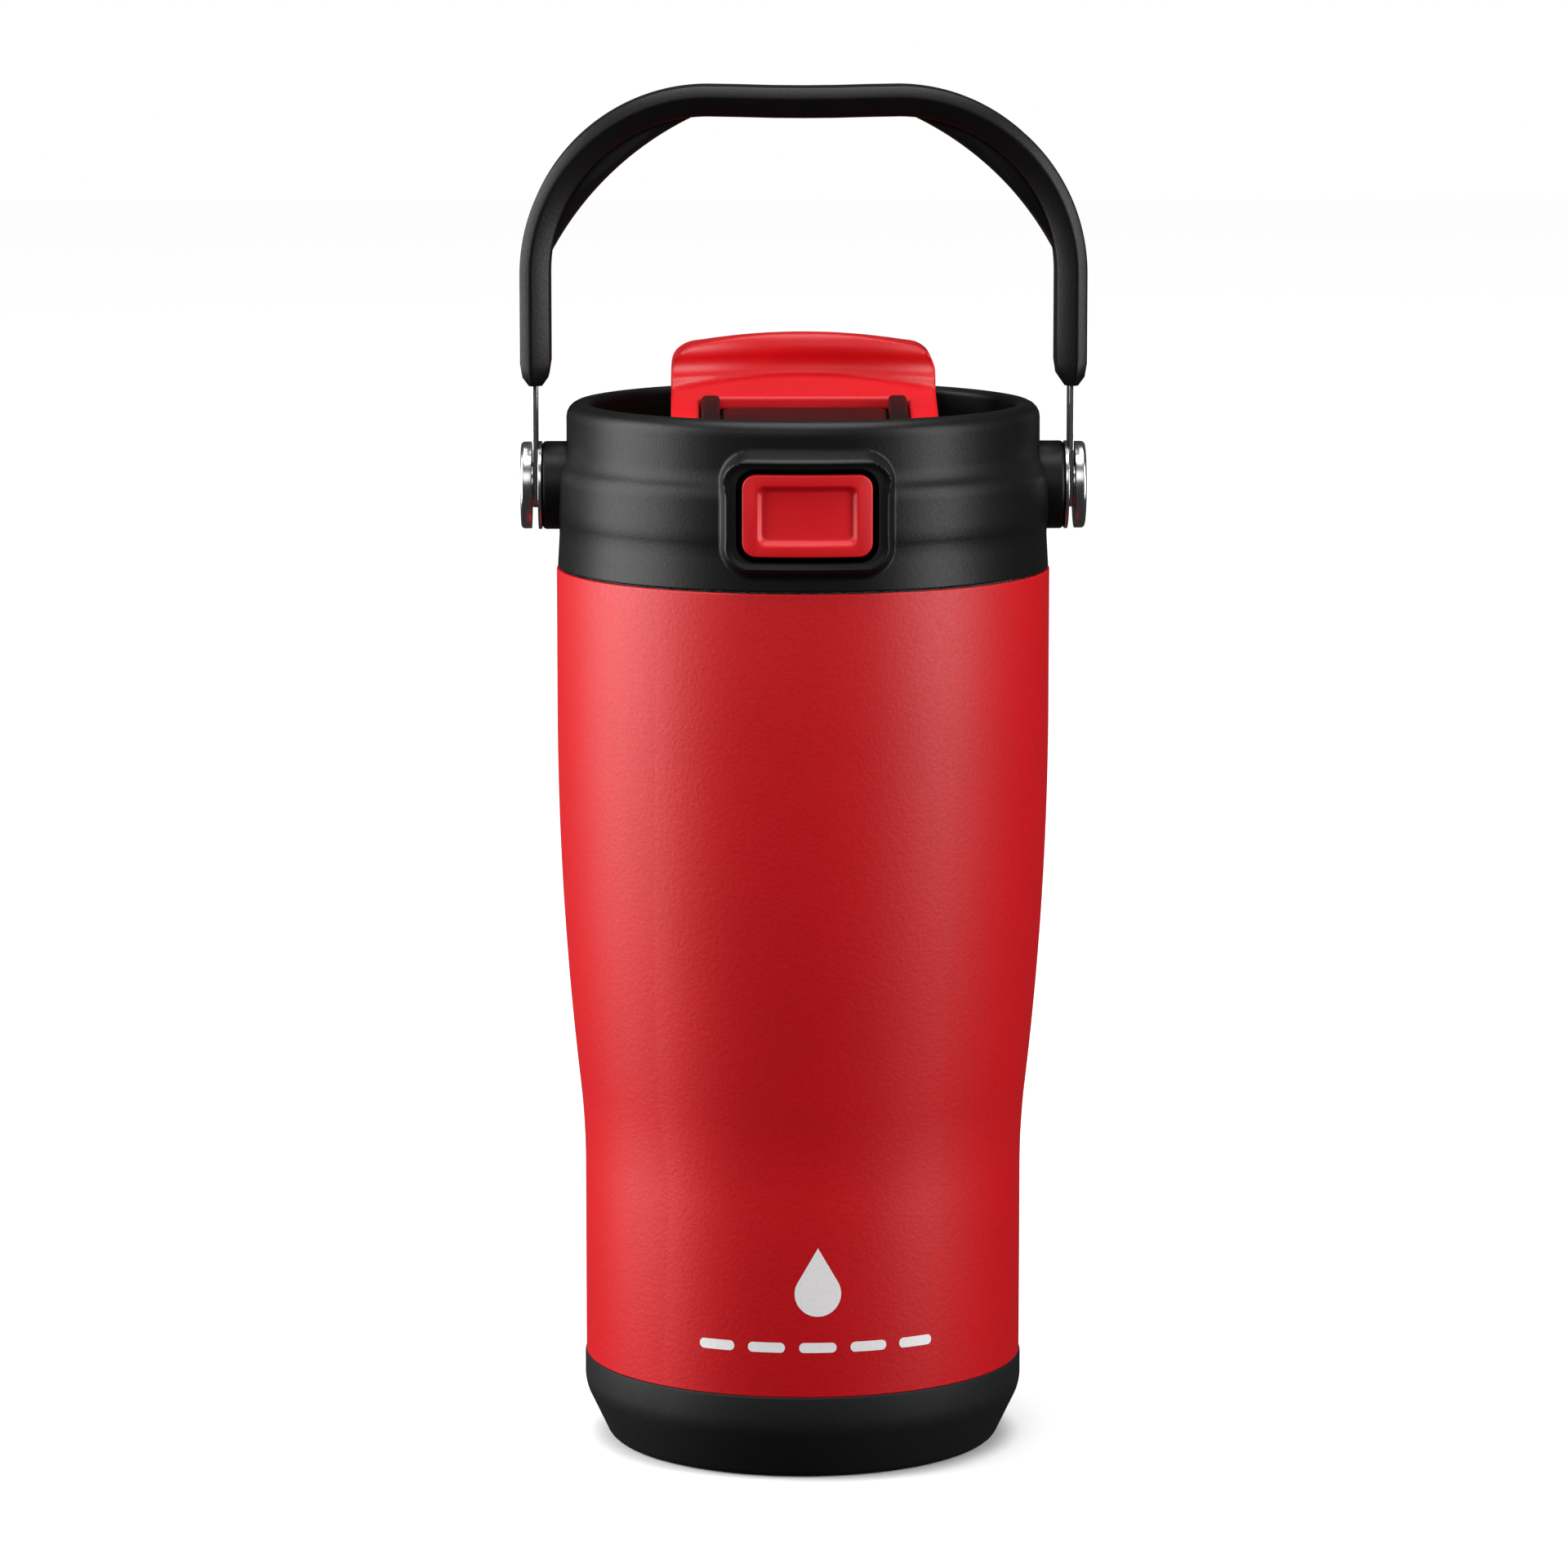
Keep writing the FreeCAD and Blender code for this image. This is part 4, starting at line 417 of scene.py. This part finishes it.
slot_cutter = pushed(upright("stem_slot", STEM_X + STEM_ROOM, STEM_LOW - STEM_ROOM,
                             STEM_HIGH + STEM_ROOM, -41), (0, 16, 0))
carved(lid, slot_cutter)
SPOUT_Y = 14.9
deck_hole = pushed(outline("deck_hole", arc((0, 0), 6.22, 0, 2 * math.pi, 48)[1:], up=(0, 1, 0),
                           start=(0, SPOUT_Y, DECK - 4)), (0, 0, 8))
carved(lid, deck_hole)

# The ears that carry the handle, 15.7 mm across, with a 0.8 mm round along their edge.
EAR_R, EAR_ROOT, EAR_X, PIVOT_Z = 7.85, 40.2, 46.5, LID + 14.3
ears = []
for side in (1, -1):
    ear = outline("ear", arc((0, PIVOT_Z), EAR_R, 0, 2 * math.pi, 72)[1:], across=(0, 1, 0),
                  start=(EAR_ROOT * side, 0, 0))
    ears.append(softened(pushed(ear, ((EAR_X - EAR_ROOT) * side, 0, 0)), 0.8, 4))

# Inside the recess: two rails and a rear wall guide the latch slide, a seat holds its spring,
# and two lugs at the back carry the flap's pin.


def slope_at(front, lift=0.0):
    """Height of the sloping tops at a distance before the axis."""
    return LID + 29.0 + lift - (front - 15.0) * 0.2309


def sloped(name, x_low, x_high, front, rear, lift, base=DECK - 0.5):
    """An upright block on the deck whose top follows the slope."""
    block = outline(name, [(-front, base), (-rear, base), (-rear, slope_at(rear, lift)),
                           (-front, slope_at(front, lift))], across=(0, 1, 0), start=(x_low, 0, 0))
    return pushed(block, (x_high - x_low, 0, 0))


inner = []
for side in (1, -1):
    inner.append(softened(sloped("rail", 14.8 * side, 18.2 * side, 33.4, 9.0, 0.9), 0.9, 4))
inner.append(softened(sloped("rear_wall", -14.9, 14.9, 14.1, 12.5, -1.6), 0.3))
inner.append(softened(sloped("spring_seat", -14.9, 14.9, 22.0, 20.6, -1.6), 0.3))
HINGE_Y, HINGE_Z, LUG_R, LUG_WIDE = 28.7, 188.5, 3.2, 4.0
for x_low in (14.3, -18.3):
    lug = outline("lug", [(HINGE_Y - LUG_R, DECK - 1), (HINGE_Y + LUG_R, DECK - 1),
                          *arc((HINGE_Y, HINGE_Z), LUG_R, 0, math.pi, 20)], across=(0, 1, 0),
                  start=(x_low, 0, 0))
    inner.append(softened(pushed(lug, (LUG_WIDE, 0, 0)), 0.4))
joined(lid, *ears, *inner)
smooth(lid, 40)
dressed(lid, satin_black)
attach(lid, "lid")
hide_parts("lid_shell")

# ---- Latch cover ----------------------------------------------------------------------------
# A flat plate of the same black plastic, clipped between the rails over the latch slide. Its
# edges are broken by a 0.4 mm round, and its face is a little smoother than the shell's.


def copied(node, width, segments=3, angle=25):
    """A merged copy of a CAD node with its sharp edges rounded."""
    bare()
    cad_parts[node].select_set(True)
    bpy.context.view_layer.objects.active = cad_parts[node]
    bpy.ops.object.duplicate()
    piece = bpy.context.object
    edit(piece)
    bpy.ops.mesh.remove_doubles(threshold=2e-6)
    bpy.ops.mesh.dissolve_limited(angle_limit=math.radians(1))
    bare()
    return softened(piece, width, segments, angle) if width else piece


cover = copied("latch_cover", 0.45)
cover.name = cover.data.name = "latch_cover_plate"
smooth(cover, 35)
dressed(cover, moulded_plastic("smoother_black_polypropylene", "#09090a", "#0e0e0f", 0.28, 0.38, 0.12, 0.3))
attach(cover, "lid")
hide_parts("latch_cover")

# ---- Button ---------------------------------------------------------------------------------
# A red ABS cap, 22.5 by 14.2 mm, curved with the lid. Its face is dished 0.9 mm with sloping
# sides, so the thumb finds it, and its stem reaches through the lid to the latch slide.
satin_red = moulded_plastic("satin_moulded_red_abs", "#cc000f", "#d40414", 0.4, 0.5, 0.16)
BUTTON_FACE = 45.2
CAP_DEEP = 1.8
button = pushed(outline("push_button", rounded(BUTTON_X, BUTTON_RISE, 2.4, BUTTON_Z), segments=6),
                (0, CAP_DEEP, 0))
dish = outline("dish", rounded(8.9, 5.4, 1.4, BUTTON_Z), start=(0, -0.3, 0), segments=4)
bpy.ops.mesh.extrude_region_move(TRANSFORM_OT_translate={"value": (0, 0.0012, 0)})
bpy.ops.transform.resize(value=(0.88, 1, 0.79), center_override=(0, 0, BUTTON_Z / 1000))
carved(button, closed(dish))
softened(button, 0.4, 4, 30)
sliced(button, 12, 0.5)
for vertex in button.data.vertices:
    x = vertex.co.x * 1000
    vertex.co.y -= math.sqrt(BUTTON_FACE ** 2 - x * x) / 1000
stem = softened(pushed(upright("stem", STEM_X, STEM_LOW, STEM_HIGH, -43.6), (0, 7.0, 0)), 0.4)
joined(button, stem)
smooth(button, 40)
dressed(button, satin_red)
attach(button, "button")
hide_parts("button_cap")

# ---- Flap -----------------------------------------------------------------------------------
# One red ABS moulding: an apron with a U opening round the latch, and the hump that covers the
# spout, with a scoop and a lip for the thumb. Every edge of the tool is rounded by 0.5 to 1 mm.
flap = copied("flap", 0)
flap.name = flap.data.name = "flap_moulding"
edit(flap)
bpy.ops.mesh.quads_convert_to_tris()
bare()
applied(flap, "REMESH", mode="VOXEL", voxel_size=0.00032, use_smooth_shade=True)
applied(flap, "SMOOTH", factor=0.5, iterations=8)
smooth(flap, 60)
dressed(flap, satin_red)
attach(flap, "flap")
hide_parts("flap")

# ---- Handle grip ----------------------------------------------------------------------------
# A black polypropylene bow moulded over the two steel links. Its section has a flat outer face,
# a ridge and a drawn-in inner face; thin webs stiffen the inside of the two bends.
LEG_IN, LEG_OUT, BEND_R = 44.8, 50.2, 33.25
GRIP_LOW, TAPER, BEND_Z = PIVOT_Z + 18.1, PIVOT_Z + 22.1, PIVOT_Z + 37.75
LEG, BEND_X, TOP = (LEG_IN + LEG_OUT) / 2, LEG_OUT - BEND_R, BEND_Z + BEND_R
grip = outline("grip_bow", [(LEG_IN, -5.6, 0.4), (LEG + 0.8, -7.5, 0.4), (LEG_OUT, -6.2, 0.35),
                            (LEG_OUT, 6.2, 0.35), (LEG + 0.8, 7.5, 0.4), (LEG_IN, 5.6, 0.4)],
               up=(0, 1, 0), start=(0, 0, TAPER), segments=3)


def carried(x=0.0, z=0.0):
    """Extrudes what is selected by a length in mm."""
    bpy.ops.mesh.extrude_region_move(TRANSFORM_OT_translate={"value": (x / 1000, 0, z / 1000)})


def bent(x):
    """Spins what is selected through the bend above one leg."""
    bpy.ops.mesh.spin(steps=48, angle=math.radians(90), center=(x / 1000, 0, BEND_Z / 1000), axis=(0, 1, 0))


for step in range(4):
    carried(z=(BEND_Z - TAPER) / 4)
bent(BEND_X)
for dip in (-0.1, -0.15, -0.05, 0.05, 0.15, 0.1):
    carried(x=-BEND_X / 3, z=dip)
bent(-BEND_X)
for step in range(4):
    carried(z=(TAPER - BEND_Z) / 4)
bpy.ops.mesh.select_all(action="SELECT")
bpy.ops.mesh.remove_doubles(threshold=2e-6)
for side in (1, -1):
    for down, wide, deep in ((2.4, 0.86, 0.97), (1.6, 0.52, 0.9)):
        floor_z = min(v.co.z for v in bmesh.from_edit_mesh(grip.data).verts if v.co.x * side > 0) * 1000
        choose(grip, lambda at: at.x * side > 0 and at.z < floor_z + 0.01, "FACE")
        carried(z=-down)
        bpy.ops.transform.resize(value=(wide, deep, 1), center_override=(LEG * side / 1000, 0, 0))
closed(grip)


def bowed(start, stop, radius, steps):
    """Points on an arc between two places, bulging to the right of the way."""
    start, stop = Vector(start), Vector(stop)
    way = stop - start
    right = Vector((way.y, -way.x)).normalized()
    middle = (start + stop) / 2 - right * math.sqrt(radius ** 2 - (way.length / 2) ** 2)
    first, last = start - middle, stop - middle
    turn = first.angle_signed(last)
    at = math.atan2(first.y, first.x)
    return arc(middle, radius, at, at - turn, steps)


webs = []
for side in (1, -1):
    edge = bowed((LEG_IN, BEND_Z + 3.5), (BEND_X + 2.4, TOP - 5.4), 55.6, 24)
    back = arc((BEND_X, BEND_Z), 31.0, math.radians(86), math.radians(7), 20)
    web = outline("web", [(x * side, z) for x, z in edge + back], start=(0, -4, 0))
    webs.append(softened(pushed(web, (0, 8, 0)), 0.7, 3, 50))
joined(grip, *webs)
SLOT_IN, SLOT_OUT = 46.35, 48.0
slots = []
for side in (1, -1):
    near, far = SLOT_IN * side, SLOT_OUT * side
    slot = pushed(outline("tip_slot", [(near, GRIP_LOW - 1), (far, GRIP_LOW - 1), (far, GRIP_LOW + 2.4),
                                       (near, GRIP_LOW + 2.4)], start=(0, -4.3, 0)), (0, 8.6, 0))
    slots.append(slot)
carved(grip, joined(*slots))
smooth(grip, 28)
dressed(grip, satin_black)
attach(grip, "handle")
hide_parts("handle_grip")

# ---- Handle links, pivot screws and washers -------------------------------------------------
# Stamped 0.85 mm stainless links, polished after stamping, on shoulder screws with wide domed
# heads. Each has a turned friction washer against the ear and a thin spacer under its head.
polished_steel, tree, shader, place = finish("polished_stainless_steel", Metallic=1.0)
shader.inputs["Base Color"].default_value = linear("#cdcdcf")
lap = wire(tree, "ShaderNodeTexNoise", {"Scale": 700.0, "Detail": 3.0}, Vector=(place, "Object"))
gloss = wire(tree, "ShaderNodeMapRange", {"To Min": 0.2, "To Max": 0.28}, Value=(lap, "Fac"))
tree.links.new(gloss.outputs["Result"], shader.inputs["Roughness"])
ripple = wire(tree, "ShaderNodeBump", {"Strength": 0.05, "Distance": 0.0001}, Height=(lap, "Fac"))
tree.links.new(ripple.outputs["Normal"], shader.inputs["Normal"])
for node, body_name, width in (("handle_link_right", "handle", 0.12), ("handle_link_left", "handle", 0.12),
                               ("pivot_screws", "lid", 0.25), ("friction_washers", "lid", 0.12),
                               ("spacer_washers", "lid", 0.05), ("hinge_pin", "lid", 0.15)):
    steel = copied(node, width)
    steel.name = steel.data.name = node + "_polished"
    smooth(steel, 35)
    dressed(steel, polished_steel)
    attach(steel, body_name)
    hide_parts(node)

# ---- Pieces inside --------------------------------------------------------------------------
# What shows only when the lid is off or the flap is up keeps its CAD shape: the brushed liner,
# the threaded plug and spout, the silicone seals, and the springs, inserts and getter.


def metal(name, colour, low, high, grain, strength):
    """A bare metal whose lathe or brush lines run round the mug's axis."""
    made, leaves, surface, at = finish(name, Metallic=1.0)
    surface.inputs["Base Color"].default_value = linear(colour)
    stretch = wire(leaves, "ShaderNodeMapping", {"Scale": (60.0, 60.0, grain)}, Vector=(at, "Object"))
    lines = wire(leaves, "ShaderNodeTexNoise", {"Scale": 1.0, "Detail": 3.0}, Vector=(stretch, "Vector"))
    sheen = wire(leaves, "ShaderNodeMapRange", {"To Min": low, "To Max": high}, Value=(lines, "Fac"))
    leaves.links.new(sheen.outputs["Result"], surface.inputs["Roughness"])
    scores = wire(leaves, "ShaderNodeBump", {"Strength": strength, "Distance": 0.0001},
                  Height=(lines, "Fac"))
    leaves.links.new(scores.outputs["Normal"], surface.inputs["Normal"])
    return made


def silicone(name, dark, light):
    """Milky silicone rubber, soft and slightly see-through, with a faint cloudiness."""
    made, leaves, surface, at = finish(name, Roughness=0.45, IOR=1.41)
    surface.inputs["Subsurface Weight"].default_value = 0.3
    surface.inputs["Subsurface Radius"].default_value = (0.002, 0.002, 0.002)
    surface.inputs["Subsurface Scale"].default_value = 1.0
    cloudy = wire(leaves, "ShaderNodeTexNoise", {"Scale": 300.0, "Detail": 2.0}, Vector=(at, "Object"))
    shade = wire(leaves, "ShaderNodeValToRGB", {}, Fac=(cloudy, "Fac"))
    shade.color_ramp.elements[0].color = linear(dark)
    shade.color_ramp.elements[1].color = linear(light)
    leaves.links.new(shade.outputs["Color"], surface.inputs["Base Color"])
    return made


brushed = metal("brushed_stainless_steel", "#b9b9bb", 0.28, 0.4, 2500.0, 0.25)
brass = metal("turned_brass", "#c9a14a", 0.25, 0.35, 1500.0, 0.1)
wire_steel = metal("drawn_spring_wire", "#a3a4a8", 0.25, 0.35, 1500.0, 0.1)
sintered = metal("sintered_getter", "#5c5d60", 0.6, 0.8, 900.0, 0.4)
milky = silicone("milky_silicone", "#d4d4ce", "#e2e2dc")
glass_frit = moulded_plastic("fused_solder_glass", "#6a6154", "#776e60", 0.2, 0.3, 0.1)
for made, slot_name, nodes in (
        (brushed, "raw_steel", ("inner_liner", "outer_base_cap")),
        (brass, "brass", ("ear_inserts",)),
        (wire_steel, "spring_steel", ("flap_spring", "button_spring")),
        (sintered, "getter", ("getter_pellet",)),
        (milky, "white_silicone", ("lid_gasket", "spout_seal", "flap_stopper")),
        (glass_frit, "solder_glass", ("vacuum_seal_bead",)),
        (satin_black, "black_plastic", ("lid_plug", "spout", "latch_slide"))):
    for node in nodes:
        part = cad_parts[node]
        part.data.materials.clear()
        part.data.materials.append(made)
        part.data.polygons.foreach_set("use_smooth", [True] * len(part.data.polygons))
        part.modifiers.new("Merge", "WELD").merge_threshold = 2e-6
        split = part.modifiers.new("Edges", "EDGE_SPLIT")
        split.split_angle = math.radians(35)

# ---- Table, lights and camera ---------------------------------------------------------------
# A wide pale table, a large soft box at the left and a narrower one at the right and forward, a
# dim one high in front, and soft light from overhead, in a nearly dark room with a white backdrop.
bare()
bpy.ops.mesh.primitive_plane_add(size=8)
table = bpy.context.object
table.name = table.data.name = "table"
pale, tree, shader, place = finish("pale_matt_table", Roughness=0.9)
shader.inputs["Base Color"].default_value = linear("#f7f7f7")
dressed(table, pale)
table.visible_diffuse = table.visible_glossy = False

room = bpy.data.worlds.new("studio")
bpy.context.scene.world = room
room.use_nodes = True
tree = room.node_tree
tree.nodes["Background"].inputs["Color"].default_value = (1, 1, 1, 1)
tree.nodes["Background"].inputs["Strength"].default_value = 0.04
white = wire(tree, "ShaderNodeBackground", {"Color": (1, 1, 1, 1), "Strength": 1.0})
rays = wire(tree, "ShaderNodeLightPath", {})
both = wire(tree, "ShaderNodeMixShader", {}, Fac=(rays, "Is Camera Ray"))
tree.links.new(tree.nodes["Background"].outputs[0], both.inputs[1])
tree.links.new(white.outputs[0], both.inputs[2])
tree.links.new(both.outputs[0], tree.nodes["World Output"].inputs["Surface"])


def soft_box(name, place, aim, wide, tall, watts):
    """A rectangular area light that faces a point."""
    data = bpy.data.lights.new(name, "AREA")
    data.shape, data.size, data.size_y, data.energy = "RECTANGLE", wide, tall, watts
    lamp = bpy.data.objects.new(name, data)
    lamp.location = place
    lamp.rotation_euler = (Vector(aim) - Vector(place)).to_track_quat("-Z", "Y").to_euler()
    bpy.context.collection.objects.link(lamp)


soft_box("left_box", (-1.1, -0.05, 0.35), (0, 0, 0.12), 0.95, 1.3, 30)
soft_box("right_box", (1.08, -0.5, 0.35), (0, 0, 0.12), 0.5, 1.3, 19)
soft_box("front_box", (-0.3, -1.5, 1.0), (0, 0, 0.15), 1.4, 0.7, 6)
sky = bpy.data.lights.new("overhead", "SUN")
sky.energy, sky.angle = 3.3, math.radians(50)
overhead = bpy.data.objects.new("overhead", sky)
bpy.context.collection.objects.link(overhead)

eye = bpy.data.cameras.new("camera")
eye.lens, eye.sensor_width = 146.5, 36.0
camera = bpy.data.objects.new("camera", eye)
camera.location = (-0.0195, -1.134, 0.287)
camera.rotation_euler = (Vector((-0.0034, 0, 0.119)) - camera.location).to_track_quat("-Z", "Y").to_euler()
bpy.context.collection.objects.link(camera)
bpy.context.scene.camera = camera
bpy.context.scene.view_settings.view_transform = "Standard"
